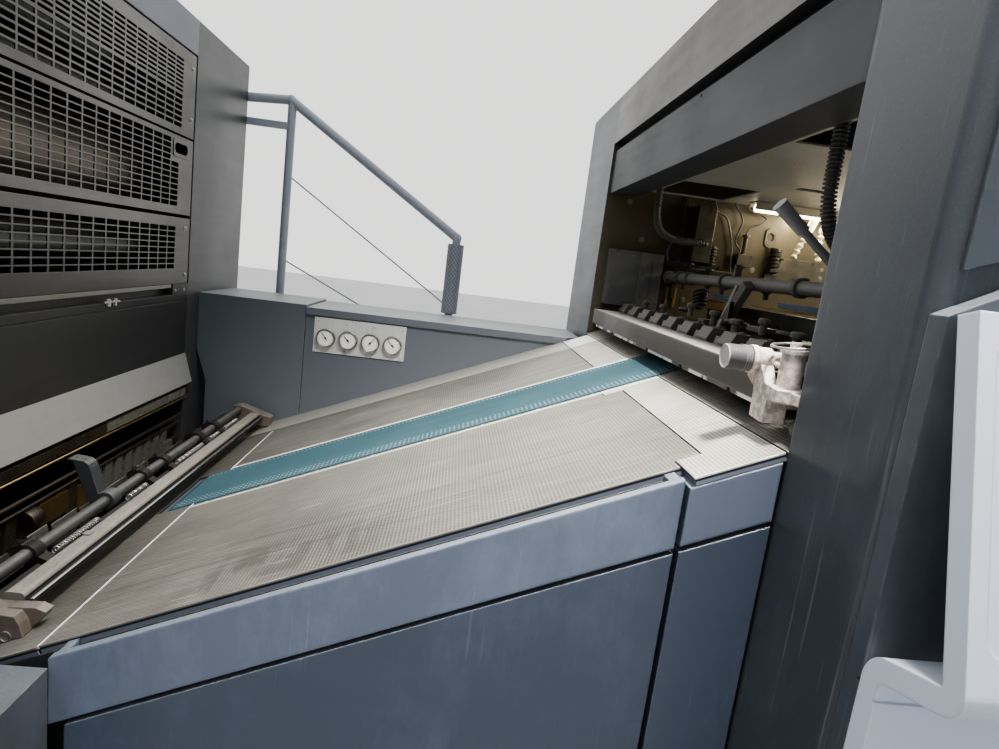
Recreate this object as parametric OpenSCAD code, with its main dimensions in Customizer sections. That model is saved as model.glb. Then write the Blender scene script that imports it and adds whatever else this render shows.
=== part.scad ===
// Infeed section of a sheet-fed offset printing press: first printing unit, sloped feed table and feeder.
// Floor at z = 0, press centreline at y = 0, sheets travel from +X to -X, operator side at -Y.

/* [Feed table] */
// Height of the table top above the floor at the origin
table_z = 1233; // [1150:1:1300]
// Slope of the table, rising towards the feeder, in degrees
table_angle = 22.3; // [18:0.1:24]
// Thickness of the table boards
board_t = 12; // [8:1:16]
// Width of the gutter between the side panel's face and the main board
gutter_w = 48; // [40:1:60]
// Place along X of the joint between lay plate and main board
lay_joint_x = -556; // [-600:1:-500]
// Place along X of the joint between main board and end board
end_joint_x = 333; // [320:1:350]
// Lower end of the lay plate
lay_end_x = -760; // [-800:1:-720]
// Open joint between two boards
board_gap = 3; // [2:0.5:5]
// Width of the smooth strip along the drive side of the main board
strip_w = 160; // [120:1:190]
// Half width of the feed section over its side panels
feed_half = 682; // [670:1:700]
// Width of the smooth margin along the operator side of the main board
margin_w = 29; // [20:1:40]
// Width of the trim strip beside the belt
trim_w = 19; // [10:1:26]
// Place along X where the end board's tongue beside the belt begins
tongue_x = 295; // [285:1:310]
// Width of that tongue with the trim strip
tongue_w = 40; // [30:1:50]
// Upper end of the plate on which the sheets enter, under the front bar
entry_x = 560; // [540:1:600]

/* [Suction belt] */
// Width of the belt
belt_w = 233; // [200:1:260]
// Centre of the belt across the press
belt_y = 11.5; // [0:0.5:20]
// Thickness of the belt
belt_t = 3; // [2:0.5:5]
// How far the belt stands above the table top
belt_rise = 1; // [0.5:0.5:3]
// Radius of the two belt rollers
belt_roller_r = 28; // [20:1:30]
// Side clearance of the belt in its channel
belt_clear = 5.5; // [3:0.5:8]
// Place along X of the lower belt roller
belt_low_x = -600; // [-640:1:-580]
// Place along X of the upper belt roller
belt_high_x = 490; // [470:1:500]

/* [Side covers] */
// Height of the tray cover along the table, measured upright
tray_h = 97; // [80:1:120]
// Wall of the tray
tray_wall = 14; // [8:1:18]
// Depth of the gutter inside the tray
gutter_h = 55; // [30:1:70]
// Left end of the tray cover
tray_x0 = -515; // [-530:1:-500]
// Right end of the tray cover
tray_x1 = 289; // [280:1:294]
// Shadow gap between cover panels
panel_gap = 8; // [5:1:12]
// Thickness of the side panels
panel_t = 20; // [12:1:25]
// Height of the plinth recess under the side panels
plinth_h = 90; // [60:5:140]
// Top of the operator-side step cover beside the infeed
step_cover_z = 1008; // [960:1:1015]

/* [Drive-side wall] */
// Height of the wall beside the table
wall_h = 1391; // [1380:1:1420]
// Gap between the wall's back and the line of the handrail
rail_gap = 60; // [40:1:90]
// Joint between its two covers
wall_joint_x = -522; // [-560:1:-480]
// Height of the lid on the right cover
lid_h = 24; // [18:1:36]
// Overhang of that lid
lid_over = 8; // [4:1:12]
// How far that lid lies below the top of the left cover
lid_drop = 6; // [2:1:10]
// Length of the mitre that ends the lid at the feeder
lid_mitre = 55; // [30:1:70]
// Width of the gauge plate
gauge_plate_w = 301; // [290:1:320]
// Height of the gauge plate
gauge_plate_h = 117; // [100:1:125]
// Left edge of the gauge plate
gauge_plate_x = -492; // [-500:1:-470]
// Pitch of the pressure gauges
gauge_pitch = 73.3; // [71:0.1:76]
// Outside diameter of a gauge bezel
gauge_d = 63; // [55:1:69]
// Number of gauges
gauge_n = 4; // [2:1:4]

/* [Printing unit] */
// Place along X of the front of the unit
unit_x = -866; // [-880:1:-850]
// Length of the unit along the press
unit_len = 1150; // [1000:10:1200]
// Height of the fascia above the guards
fascia_h = 96; // [85:1:300]
// Half width between the side covers
unit_half = 590; // [580:1:600]
// Width of the operator-side covers outside the feed table's panels
operator_w = 195; // [170:1:220]
// Outer face of the drive-side cover, from the centreline
drive_face = 1090; // [1050:1:1140]
// Width of the set-back strip along the outer edge of the drive-side cover
edge_w = 50; // [30:1:70]
// How far that strip stands back
edge_back = 16; // [8:1:24]
// Depth of the cylinder bay behind the guards
bay_depth = 420; // [380:5:460]
// Thickness of the side frames' inner lips and covers in front of the bay
front_t = 24; // [18:1:30]

/* [Guards] */
// Gap between a guard's edge and the side cover beside it
guard_play = 10; // [6:1:20]
// Depth of a guard's folded edge
guard_depth = 18; // [14:1:22]
// Sheet thickness of a guard
guard_sheet = 3; // [2:0.5:4]
// Lower edge of the lower guard
guard_z0 = 1424; // [1418:1:1430]
// Height of the lower guard up to the joint over it
guard_low_h = 199; // [180:1:220]
// Height of the middle guard from joint to joint
guard_mid_h = 222; // [200:1:245]
// Height of the upper guard above the joint under it
guard_top_h = 235; // [215:1:260]
// Open joint between two guards
guard_gap = 6; // [5:0.5:9]
// Slot pitch across the press
slot_pitch_y = 53.5; // [50:0.1:54]
// Slot pitch in height
slot_pitch_z = 15.4; // [15:0.1:15.6]
// Width of a slot
slot_w = 47.5; // [40:0.1:48]
// Height of a slot
slot_h = 12; // [8:0.1:12.5]
// Least free rim between the slots and the operator-side edge of a guard
slot_rim_far = 42; // [36:1:50]
// Free rim between the slots and the drive-side edge of a guard
slot_rim = 82; // [70:1:100]
// Height of a slot in the lower rows of the upper guard
flat_slot_h = 10.5; // [8:0.1:12]
// Row pitch of the fine slots at the top of the upper guard
fine_pitch = 11.5; // [10:0.1:12]
// Height of a fine slot
fine_slot_h = 6; // [4:0.1:7]
// Width of the hand hole in the middle guard
grip_hole_w = 85; // [60:1:100]
// Height of the hand hole in the middle guard
grip_hole_h = 28; // [20:1:34]
// Diameter of the guard's hinge pins
guard_pin_d = 6; // [5:0.5:8]

/* [Cylinders and infeed] */
// Diameter of the plate cylinder
cylinder_d = 270; // [240:1:300]
// Diameter of the large form rollers
form_roller_d = 92; // [80:1:110]
// Diameter of the small form rollers
rider_d = 74; // [60:1:90]
// Diameter of the infeed drum below the apron
drum_d = 240; // [200:1:260]
// Length of the ledge under the lower guard, from the centreline
ledge_half = 470; // [440:1:500]
// Height of the apron above the lead plate
apron_h = 166; // [150:1:180]
// Upright height of the lead plate
lead_h = 91; // [80:1:100]
// How far the lead plate leans out at its lower edge
lead_out = 25; // [15:1:35]
// Pitch of the gripper pads
pad_pitch = 52; // [40:1:60]
// Top of the gripper pads
pad_z = 990; // [980:1:1000]

/* [Front lays] */
// Place along X of the lay shaft
lay_shaft_x = -695; // [-705:1:-685]
// Height of the lay shaft's axis
lay_shaft_z = 1033; // [1025:1:1040]
// Diameter of the lay shaft
lay_shaft_d = 22; // [16:1:26]
// Place along X of the smoother bar's centre
smoother_x = -645; // [-655:1:-640]
// Top of the smoother bar
smoother_z = 1030; // [1020:1:1036]
// Width of the smoother bar
smoother_w = 34; // [28:1:40]
// Gap between the near casting and the operator-side edge of the boards
casting_near_gap = 86; // [70:1:100]
// Gap between the inner face of the far casting and the drive-side wall
casting_far_gap = 80; // [70:1:95]
// Depth of the castings across the press
casting_t = 40; // [30:1:60]
// Thickness of the hand lever on the lay shaft
handle_t = 30; // [20:1:36]

/* [Feeder] */
// Place along X of the feeder's front
feeder_x = 420; // [418:1:430]
// Length of the feeder
feeder_len = 1300; // [1200:10:1400]
// Height of the feeder's top above the front bar
feeder_open_h = 687; // [620:1:750]
// Height of the bright cover at the top of the feeder's front
cover_h = 148; // [130:1:170]
// Dark joint between that cover and the beam
cover_gap = 23; // [10:1:30]
// Height of the sloped shoulder at the back of the feeder
shoulder_h = 483; // [400:1:560]
// Length of that shoulder
shoulder_w = 420; // [350:1:500]
// How far the drive-side post stands outside the feed table's panels
far_step = 33; // [20:1:50]
// Width of the drive-side post
far_post_w = 430; // [380:5:470]
// Height of the dark beam
beam_h = 135; // [120:1:150]
// Depth of the dark beam
beam_d = 88; // [70:1:110]
// How far the beam lies behind the posts' front
beam_back = 8; // [4:1:14]
// Radius of the upright edges of the posts
post_r = 20; // [8:1:30]
// Thickness of the ceiling plate
ceiling_t = 4; // [3:1:8]
// How far the ceiling lies above the beam's underside
ceiling_up = 23; // [15:1:30]
// Diameter of the lamp tube
lamp_d = 26; // [16:1:30]

/* [Front bar and knob] */
// Lower face of the front bar
bar_z = 1450; // [1446:1:1456]
// Height of the front bar
bar_h = 46; // [40:1:56]
// Depth of the front bar
bar_d = 75; // [60:1:80]
// Gap between the near end of the front bar and the operator-side panels
bar_near_gap = 107; // [95:1:120]
// Gap between the far end of the front bar and the drive-side post
bar_far_gap = 70; // [55:1:85]
// Pitch of the guide tongues and hold-down blocks along the bar
tongue_pitch = 118; // [110:1:130]
// Number of the guide tongues
tongue_n = 10; // [8:1:10]
// Place along X of the front face of the bar
bar_x = 420; // [416:1:426]
// Diameter of the knob
knob_d = 37; // [30:1:44]
// Length of the knob
knob_l = 35; // [30:1:44]
// How far the knob's axis lies outside the near end of the front bar
knob_off = 5; // [0:1:20]
// Height of the knob's axis
knob_z = 1512; // [1506:1:1518]
// Diameter of the knob's spindle
spindle_d = 12; // [8:0.5:14]

/* [Lever] */
// Height of the lever's pivot
lever_z = 1621.6; // [1616:0.1:1626]
// Place of the lever's pivot along the press
lever_x = 620; // [614:1:626]
// Place of the lever across the press
lever_y = -450; // [-470:1:-430]
// Length from the pivot to the end of the grip
lever_l = 209; // [190:1:230]
// Diameter of the lever's rod
lever_d = 14.6; // [10:0.1:16]
// Diameter of the grip
grip_d = 24; // [20:1:28]
// Length of the grip
grip_l = 60; // [50:1:80]
// Lean of the lever towards the table, in degrees from upright
lever_lean = 52.2; // [45:0.1:58]

/* [Feeder inside] */
// Diameter of the upper cross shaft
shaft_d = 30; // [24:1:36]
// Place along X of the upper cross shaft
shaft_x = 667; // [660:1:680]
// Height of the upper cross shaft
shaft_z = 1630; // [1620:1:1640]
// Width of a hold-down block
hold_w = 60; // [40:1:80]
// Height of a hold-down block
hold_h = 58; // [40:1:64]
// Width of the box on the far inner wall
box_w = 187; // [160:1:200]
// Height of the box on the far inner wall
box_h = 185; // [160:1:200]
// Length of the suction head along the press
head_l = 250; // [200:1:300]
// Width of the suction head
head_w = 600; // [500:1:700]
// Thickness of the pile platform
pile_t = 45; // [30:1:60]
// Height of the pile platform's top above the floor
pile_z = 205; // [180:1:240]

/* [Handrail] */
// Diameter of the rail's tube
rail_d = 34; // [28:1:42]
// Place of the rail across the press
rail_y = 1060; // [1050:1:1070]
// Height of the rail's upper end
rail_z = 2088; // [2040:1:2140]
// Height of the rail's lower end
rail_low_z = 1678; // [1640:1:1720]
// Place along X of the rail's upper post
rail_post_x = -712; // [-730:1:-690]
// Place along X of the rail's lower post
rail_end_x = -62; // [-80:1:-50]

/* [Hoses] */
// Outside diameter of the corrugated air hoses
hose_d = 30; // [20:1:40]
// Outside diameter of the thin air hoses
thin_hose_d = 7; // [5:0.5:9]
// Outside diameter of the jointed blow hoses
blow_hose_d = 20; // [16:1:24]

/* [Console] */
// Thickness of the console's bent panel
console_t = 25; // [18:1:30]
// Width of the console
console_w = 560; // [450:10:650]
// Height of the console's top edge
console_top = 1623; // [1580:1:1660]
// Height of the fold below the screen
console_fold = 1292; // [1280:1:1300]
// How far the fold stands out from the dark cover
console_out = 108; // [90:1:125]
// Thickness of the dark operator-side cover behind the console
cover_t = 24; // [18:1:30]

/* [Hidden] */
$fn = 48;
eps = 0.01;
seat = 0.3;
tan_t = tan(table_angle);
cos_t = cos(table_angle);
board_up = board_t / cos_t;
base_up = (board_t + seat) / cos_t;
belt_a = belt_y - belt_w / 2;
belt_b = belt_y + belt_w / 2;
channel_a = belt_a - belt_clear;
channel_b = belt_b + belt_clear;
belt_mid = belt_rise - belt_t - belt_roller_r;
board_half = feed_half - gutter_w;
wall_y = feed_half - 2;
wall_back = rail_y - rail_gap;
operator_face = feed_half + operator_w;
base_near = board_half + 2;
board_far = wall_y - lid_over - seat;
end_board_x0 = tray_x1 + panel_gap;
table_end_x = feeder_x - 4;
bay_x = unit_x - bay_depth;
unit_back = unit_x - unit_len;
feeder_back = feeder_x + feeder_len;
bar_top = bar_z + bar_h;
feeder_h = bar_top + feeder_open_h;
beam_z = feeder_h - cover_h - cover_gap - beam_h;
ceiling_z = beam_z + ceiling_up;
near_in = -feed_half + seat;
far_inner = feed_half + far_step;
far_outer = far_inner + far_post_w;
far_in = far_inner - seat;
bar_near = feed_half - bar_near_gap;
bar_far = far_inner - bar_far_gap;
knob_y = -bar_near - knob_off;
casting_near = board_half - casting_near_gap;
casting_far = wall_y - casting_far_gap;
guard_half = unit_half - guard_play;
guard_z1 = guard_z0 + guard_low_h;
guard_z2 = guard_z1 + guard_mid_h;
guard_z3 = guard_z2 + guard_top_h;
sheet_top = guard_z3 + guard_gap;
unit_h = sheet_top + fascia_h;
hinge_x = unit_x - guard_pin_d;
hinge_z = guard_z1 + guard_gap / 2 + guard_pin_d / 2 + 1;
slot_end_y = guard_half - slot_rim;
slot_cols = floor((slot_end_y + guard_half - slot_rim_far) / slot_pitch_y);
ledge_top = guard_z0 - 1;
ledge_low = ledge_top - 10;
apron_z = guard_z0 - 53;
apron_low_z = apron_z - apron_h;
lead_low_z = apron_low_z - lead_h;
knob_base_x = bar_x - 30;

// Height of the table top above the floor at a place along X
function top_z(x) = table_z + x * tan_t;
// Distance along the slope of a place along X
function along(x) = x / cos_t;

// Places its children in the table's own plane: X uphill, Z square to the table top
module on_table() {
    translate([0, 0, table_z]) rotate([0, -table_angle, 0]) children();
}

// A box given by its two far corners
module block(a, b) {
    translate(a) cube(b - a);
}

// A plate in the XZ plane between y0 and y1
module upright(y0, y1) {
    translate([0, y1, 0]) rotate([90, 0, 0]) linear_extrude(y1 - y0) children();
}

// A plate with upright ends whose long edges follow the table
module slope_plate(x0, x1, low, high, y0, y1) {
    upright(y0, y1) polygon([[x0, top_z(x0) + low], [x1, top_z(x1) + low],
        [x1, top_z(x1) + high], [x0, top_z(x0) + high]]);
}

// A rod along Y
module rod_y(x, z, d, y0, y1) {
    translate([x, y1, z]) rotate([90, 0, 0]) cylinder(d = d, h = y1 - y0);
}

// A rod along X
module rod_x(y, z, d, x0, x1) {
    translate([x0, y, z]) rotate([0, 90, 0]) cylinder(d = d, h = x1 - x0);
}

// An upright rod
module rod_z(x, y, d, z0, z1) {
    translate([x, y, z0]) cylinder(d = d, h = z1 - z0);
}

// A rod between two points
module rod(a, b, d) {
    w = b - a;
    translate(a) rotate([0, acos(w[2] / norm(w)), atan2(w[1], w[0])]) cylinder(d = d, h = norm(w));
}

// A rectangle with round corners, centred
module rounded(w, h, r) {
    square([w - 2 * r, h], center = true);
    square([w, h - 2 * r], center = true);
    for (x = [-1, 1], y = [-1, 1]) translate([x * (w / 2 - r), y * (h / 2 - r)]) circle(r = r);
}

// What is taken off an upright corner at the origin to round it, for a body on its +X +Y side
module corner_cut(r, h) {
    difference() {
        translate([-1, -1, -1]) cube([r + 1, r + 1, h + 2]);
        translate([r, r, -2]) cylinder(r = r, h = h + 4);
    }
}

// Outline of the table's support seen from the operator side, below the boards
module base_outline(x0, x1) {
    xm = max(x0, lay_end_x);
    polygon([[x0, 0], [x1, 0], [x1, top_z(x1) - base_up], [xm, top_z(xm) - base_up],
        [x0, top_z(xm) - base_up - (x0 < lay_end_x ? 60 : 0)]]);
}

module table_base() {
    channel_h = 2 * belt_roller_r + belt_t + 18;
    lid_x = (wall_h - lid_drop - lid_h - table_z) / tan_t;
    color("#2b2e31") difference() {
        union() {
            upright(-base_near + seat, wall_y) base_outline(unit_x, feeder_x + 10);
            upright(near_in + panel_t, -base_near + seat) polygon([[tray_x0 + 21, plinth_h],
                [table_end_x, plinth_h], [table_end_x, top_z(table_end_x) - tray_h - panel_gap],
                [tray_x0 + 21, top_z(tray_x0 + 21) - tray_h - panel_gap]]);
            upright(near_in, far_in) base_outline(feeder_x + 1, entry_x);
        }
        block([lid_x - 10, board_far, wall_h - lid_drop - lid_h - 1], [feeder_x, wall_y + 1, wall_h + 20]);
        on_table() block([along(belt_low_x) - belt_roller_r - 14, channel_a, -channel_h],
            [along(belt_high_x) + belt_roller_r + 14, channel_b, 1]);
    }
}

// A board on the table between two places along X
module board(x0, x1, y0, y1) {
    on_table() block([along(x0), y0, -board_t], [along(x1), y1, 0]);
}

// What is cut out of a board, from a depth below the table top upward
module board_cut(x0, x1, y0, y1, depth = 20) {
    on_table() block([along(x0), y0, -depth], [along(x1), y1, 4]);
}

module feed_board() {
    strip_y = wall_y - strip_w;
    lid_x = (wall_h - lid_drop - lid_h - table_z) / tan_t;
    color("#b9b5aa") difference() {
        union() {
            board(lay_joint_x, end_joint_x, -board_half + margin_w, channel_a);
            board(lay_joint_x, end_board_x0, -board_half, -board_half + margin_w + eps);
            board(lay_joint_x, end_joint_x, channel_b, strip_y + 1);
            board(lay_end_x, end_joint_x, strip_y, wall_y - seat);
        }
        board_cut(tongue_x, end_joint_x + 1, channel_a - tongue_w, channel_a + 1);
        board_cut(lay_joint_x - 1, tongue_x + 1, channel_a - trim_w - 1, channel_a - trim_w, 1.5);
        board_cut(lay_joint_x - 1, end_joint_x + 1, strip_y, strip_y + 1, 1);
        board_cut(lid_x - 12, end_joint_x + 1, board_far, wall_y);
    }
}

module end_board() {
    color("#cfccc2") {
        union() {
            board(end_joint_x + board_gap, table_end_x, -board_half + margin_w - eps, channel_a);
            board(end_board_x0 + board_gap, table_end_x, -feed_half, -board_half + margin_w - board_gap);
            board(end_joint_x + board_gap, table_end_x, -board_half + margin_w - board_gap - eps,
                -board_half + margin_w);
            board(tongue_x + board_gap, end_joint_x + board_gap + eps, channel_a - tongue_w + board_gap,
                channel_a);
        }
        board(end_joint_x + board_gap, table_end_x, channel_b, board_far);
    }
}

module entry_plate() {
    color("#3c3e3f") union() {
        board(table_end_x + board_gap, entry_x, near_in, channel_a);
        board(table_end_x + board_gap, entry_x, channel_b, board_far);
        board(feeder_x + seat, entry_x, board_far - eps, far_in);
        board(belt_high_x + belt_roller_r + 12, entry_x, channel_a - eps, channel_b + eps);
    }
}

module lay_plate() {
    color("#a8a59b") difference() {
        board(lay_end_x, lay_joint_x - board_gap, -base_near + seat, wall_y - strip_w - board_gap);
        board_cut(belt_low_x - belt_roller_r - 6, lay_joint_x + 1, channel_a, channel_b);
    }
}

module suction_belt() {
    a = along(belt_low_x);
    b = along(belt_high_x);
    color("#4f93a0") on_table() translate([0, belt_b, belt_mid]) rotate([90, 0, 0])
        linear_extrude(belt_w) difference() {
            union() {
                translate([a, 0]) circle(r = belt_roller_r + belt_t);
                translate([b, 0]) circle(r = belt_roller_r + belt_t);
                translate([a, -belt_roller_r - belt_t]) square([b - a, 2 * (belt_roller_r + belt_t)]);
            }
            translate([a, 0]) circle(r = belt_roller_r);
            translate([b, 0]) circle(r = belt_roller_r);
            translate([a, -belt_roller_r]) square([b - a, 2 * belt_roller_r]);
        }
}

module shafts() {
    color("#8d8f91") {
        on_table() for (x = [belt_low_x, belt_high_x]) {
            rod_y(along(x), belt_mid, 2 * (belt_roller_r - seat), belt_a, belt_b);
            rod_y(along(x), belt_mid, 20, channel_a, channel_b);
        }
        union() {
            rod_y(shaft_x, shaft_z, shaft_d, near_in, far_in);
            upright(104, 120) polygon([[shaft_x - 12, shaft_z], [shaft_x + 12, shaft_z],
                [entry_x + 80, hold_z + 16], [entry_x + 54, hold_z + 16]]);
        }
        rod_y(shaft_x + 42, shaft_z - 8, shaft_d / 2, near_in, far_in);
    }
}

module tray_cover() {
    color("#7e8b9c") union() {
        slope_plate(tray_x0, tray_x1, -tray_h, 0, -feed_half, -feed_half + tray_wall);
        slope_plate(tray_x0, tray_x1, -tray_h, -gutter_h, -feed_half + tray_wall - eps, -base_near);
        slope_plate(tray_x0, tray_x0 + tray_wall, -gutter_h - eps, -4, -feed_half + tray_wall - eps,
            -base_near);
        slope_plate(tray_x1 - tray_wall, tray_x1, -gutter_h - eps, -4, -feed_half + tray_wall - eps,
            -base_near);
        slope_plate(end_board_x0, table_end_x, -tray_h, -board_up - 1, -feed_half, -base_near);
    }
}

// Outline of a lower side panel between two places along X
module low_panel_outline(x0, x1) {
    polygon([[x0, plinth_h], [x1, plinth_h], [x1, top_z(x1) - tray_h - panel_gap],
        [x0, top_z(x0) - tray_h - panel_gap]]);
}

module lower_panel() {
    color("#565f6b") upright(-feed_half, -feed_half + panel_t) {
        low_panel_outline(tray_x0 + 21, tray_x1);
        low_panel_outline(end_board_x0, table_end_x);
    }
}

module step_cover() {
    color("#4b5056") upright(-operator_face, -feed_half)
        polygon([[unit_x + seat, 0], [tray_x0 - seat, 0], [tray_x0 - seat, step_cover_z],
            [unit_x + seat, step_cover_z]]);
}

// Outline of the left cover of the drive-side wall, its left edge leaning with the lead plate
module wall_left_outline() {
    polygon([[unit_x + lead_out + 8, 0], [wall_joint_x - 1, 0], [wall_joint_x - 1, wall_h],
        [unit_x + seat, wall_h], [unit_x + seat, apron_low_z], [unit_x + lead_out + 8, lead_low_z - 10]]);
}

module drive_wall() {
    lid_z = wall_h - lid_drop;
    lid_end = feeder_x - 20 - lid_mitre;
    color("#4d545c") {
        upright(wall_y, wall_back) wall_left_outline();
        union() {
            block([wall_joint_x + 1, wall_y, 0], [feeder_x - seat, wall_back, lid_z - lid_h + eps]);
            translate([0, 0, lid_z - lid_h]) linear_extrude(lid_h) polygon([[wall_joint_x + 1,
                wall_y - lid_over], [lid_end, wall_y - lid_over], [lid_end + lid_mitre,
                wall_y - lid_over + lid_mitre], [lid_end + lid_mitre, wall_back], [wall_joint_x + 1,
                wall_back]]);
        }
    }
}

gauge_z = wall_h - lid_drop - lid_h - gauge_plate_h / 2 - 4;
module gauge_panel() {
    x0 = gauge_plate_x + (gauge_plate_w - (gauge_n - 1) * gauge_pitch) / 2;
    color("#d4d5d3") union() {
        block([gauge_plate_x, wall_y - 4, gauge_z - gauge_plate_h / 2],
            [gauge_plate_x + gauge_plate_w, wall_y, gauge_z + gauge_plate_h / 2]);
        for (i = [0:gauge_n - 1])
            translate([x0 + i * gauge_pitch, wall_y - 4 + eps, gauge_z - 8]) rotate([90, 0, 0])
                difference() {
                    cylinder(d = gauge_d, h = 14);
                    translate([0, 0, 10]) cylinder(d = gauge_d - 7, h = 5);
                }
    }
}

module handrail() {
    bend = [rail_post_x - 6, rail_y, rail_z + 5];
    low_end = [rail_end_x, rail_y, rail_low_z];
    wire_d = rail_d / 6;
    wall_x = unit_x - edge_back + seat;
    color("#8f959b") union() {
        rod([wall_x + 1.2, rail_y, rail_z - 6], bend, rail_d - 1);
        rod(bend, low_end, rail_d);
        translate(bend) sphere(d = rail_d + 3);
        translate(low_end) sphere(d = rail_d + 3);
        rod_z(rail_post_x, rail_y, rail_d - 3, 0, rail_z - 4);
        rod_z(rail_end_x, rail_y, rail_d - 2, 0, rail_low_z - 4);
        rod_z(rail_end_x, rail_y, rail_d + 26, rail_low_z - 290, rail_low_z - 24);
        for (x = [rail_post_x, rail_end_x]) rod_z(x, rail_y, 2 * rail_d, 0, 10);
        block([wall_x, rail_y - 12, rail_z - 100], [rail_post_x, rail_y + 12, rail_z - 76]);
        rod([rail_post_x, rail_y, rail_z - 260], [rail_end_x, rail_y, rail_low_z - 270], wire_d);
        rod([rail_post_x, rail_y, rail_z - 570], [rail_end_x, rail_y, rail_low_z - 460], wire_d);
    }
}

module unit_core() {
    color("#3a3f45") union() {
        block([unit_back, -unit_half, 0], [bay_x, unit_half, unit_h - front_t]);
        block([bay_x - eps, -unit_half, 0], [unit_x - lead_out, unit_half, apron_low_z - 445]);
        block([bay_x - eps, -unit_half, sheet_top + 40], [unit_x - front_t, unit_half, unit_h - front_t]);
    }
}

module unit_side_operator() {
    color("#4b5158") difference() {
        block([unit_back, -operator_face, 0], [unit_x, -unit_half, unit_h]);
        translate([unit_x, -operator_face, 0]) rotate([0, 0, 90]) corner_cut(post_r, unit_h);
        rod_y(hinge_x, hinge_z, guard_pin_d + 0.1, -unit_half - 20, -unit_half + 1);
    }
}

module unit_side_drive() {
    color("#4b5158") difference() {
        union() {
            block([unit_back, unit_half, 0], [unit_x, drive_face - edge_w, unit_h]);
            block([unit_back, drive_face - edge_w - eps, 0], [unit_x - edge_back, drive_face, unit_h]);
        }
        rod_y(hinge_x, hinge_z, guard_pin_d + 0.1, unit_half - 1, unit_half + 20);
    }
}

module unit_fascia() {
    color("#4a566b") union() {
        block([unit_x - front_t, -unit_half + seat, sheet_top], [unit_x, unit_half - seat, unit_h]);
        block([unit_back, -unit_half + seat, unit_h - front_t],
            [unit_x - front_t + eps, unit_half - seat, unit_h]);
    }
}

// Rows and columns of slots counted back from y1, in the plane of a guard
module slots(cols, rows, y1, z0, pitch, h) {
    for (r = [0:rows - 1], c = [1:cols])
        translate([y1 - c * slot_pitch_y + (slot_pitch_y - slot_w) / 2, z0 + r * pitch]) square([slot_w, h]);
}

// A guard sheet with folded edges in the YZ plane, its front at unit_x; the children are its openings
module guard(z0, z1) {
    translate([unit_x, 0, 0]) rotate([90, 0, 90]) mirror([0, 0, 1]) union() {
        linear_extrude(guard_sheet) difference() {
            translate([-guard_half, z0]) square([2 * guard_half, z1 - z0]);
            children();
        }
        translate([0, 0, guard_sheet - eps]) linear_extrude(guard_depth - guard_sheet) difference() {
            translate([-guard_half, z0]) square([2 * guard_half, z1 - z0]);
            translate([-guard_half + 3, z0 + 3]) square([2 * guard_half - 6, z1 - z0 - 6]);
        }
    }
}

// Lugs that screw a fixed guard to the side covers, at two heights
module guard_lugs(z0, z1) {
    for (z = [z0, z1]) {
        block([unit_x - guard_depth, guard_half - 1, z], [unit_x - 6, unit_half - seat, z + 24]);
        block([unit_x - guard_depth, -unit_half + seat, z], [unit_x - 6, 1 - guard_half, z + 24]);
    }
}

module fixed_guards() {
    fine_z = guard_z3 - 118;
    flat_rows = floor((fine_z - guard_z2 - guard_gap / 2 - 18) / slot_pitch_z);
    flat_z = fine_z - flat_rows * slot_pitch_z - 3;
    low_rows = floor((guard_low_h - guard_gap - 66) / slot_pitch_z);
    color("#85888a") {
        union() {
            guard(guard_z2 + guard_gap / 2, guard_z3) {
                slots(slot_cols, flat_rows, slot_end_y, flat_z, slot_pitch_z, flat_slot_h);
                slots(slot_cols, 8, slot_end_y, fine_z, fine_pitch, fine_slot_h);
            }
            guard_lugs(guard_z2 + 40, guard_z3 - 60);
        }
        union() {
            guard(guard_z0, guard_z1 - guard_gap)
                slots(slot_cols, low_rows, slot_end_y - 12, guard_z0 + 46, slot_pitch_z, slot_h);
            guard_lugs(guard_z0 + 20, guard_z1 - 60);
        }
    }
}

module middle_guard() {
    z0 = guard_z1 + guard_gap / 2;
    hole = [slot_end_y, guard_z2 - 37];
    rows = floor((guard_z2 - 8 - guard_gap / 2 - z0 - 22.5) / slot_pitch_z);
    rows_low = floor((hole[1] - grip_hole_h / 2 - 10 - z0 - 22.5) / slot_pitch_z);
    color("#85888a") union() {
        guard(z0, guard_z2 - guard_gap / 2) {
            slots(slot_cols - 1, rows, slot_end_y - 8 - slot_pitch_y, z0 + 22.5, slot_pitch_z, slot_h);
            slots(1, rows_low, slot_end_y - 8, z0 + 22.5, slot_pitch_z, slot_h);
            translate(hole) rounded(grip_hole_w, grip_hole_h, grip_hole_h / 2 - eps);
        }
        translate([unit_x - eps, 0, 0]) rotate([90, 0, 90]) linear_extrude(2) translate(hole) difference() {
            rounded(grip_hole_w + 14, grip_hole_h + 20, 8);
            rounded(grip_hole_w, grip_hole_h, grip_hole_h / 2 - eps);
        }
        rod_y(hinge_x, hinge_z, guard_pin_d, -unit_half - 15, -guard_half + 8);
        rod_y(hinge_x, hinge_z, guard_pin_d, guard_half - 8, unit_half + 15);
    }
}

module ledge() {
    color("#a9a79e") block([unit_x - front_t, -ledge_half, ledge_low], [unit_x, ledge_half, ledge_top]);
}

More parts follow.
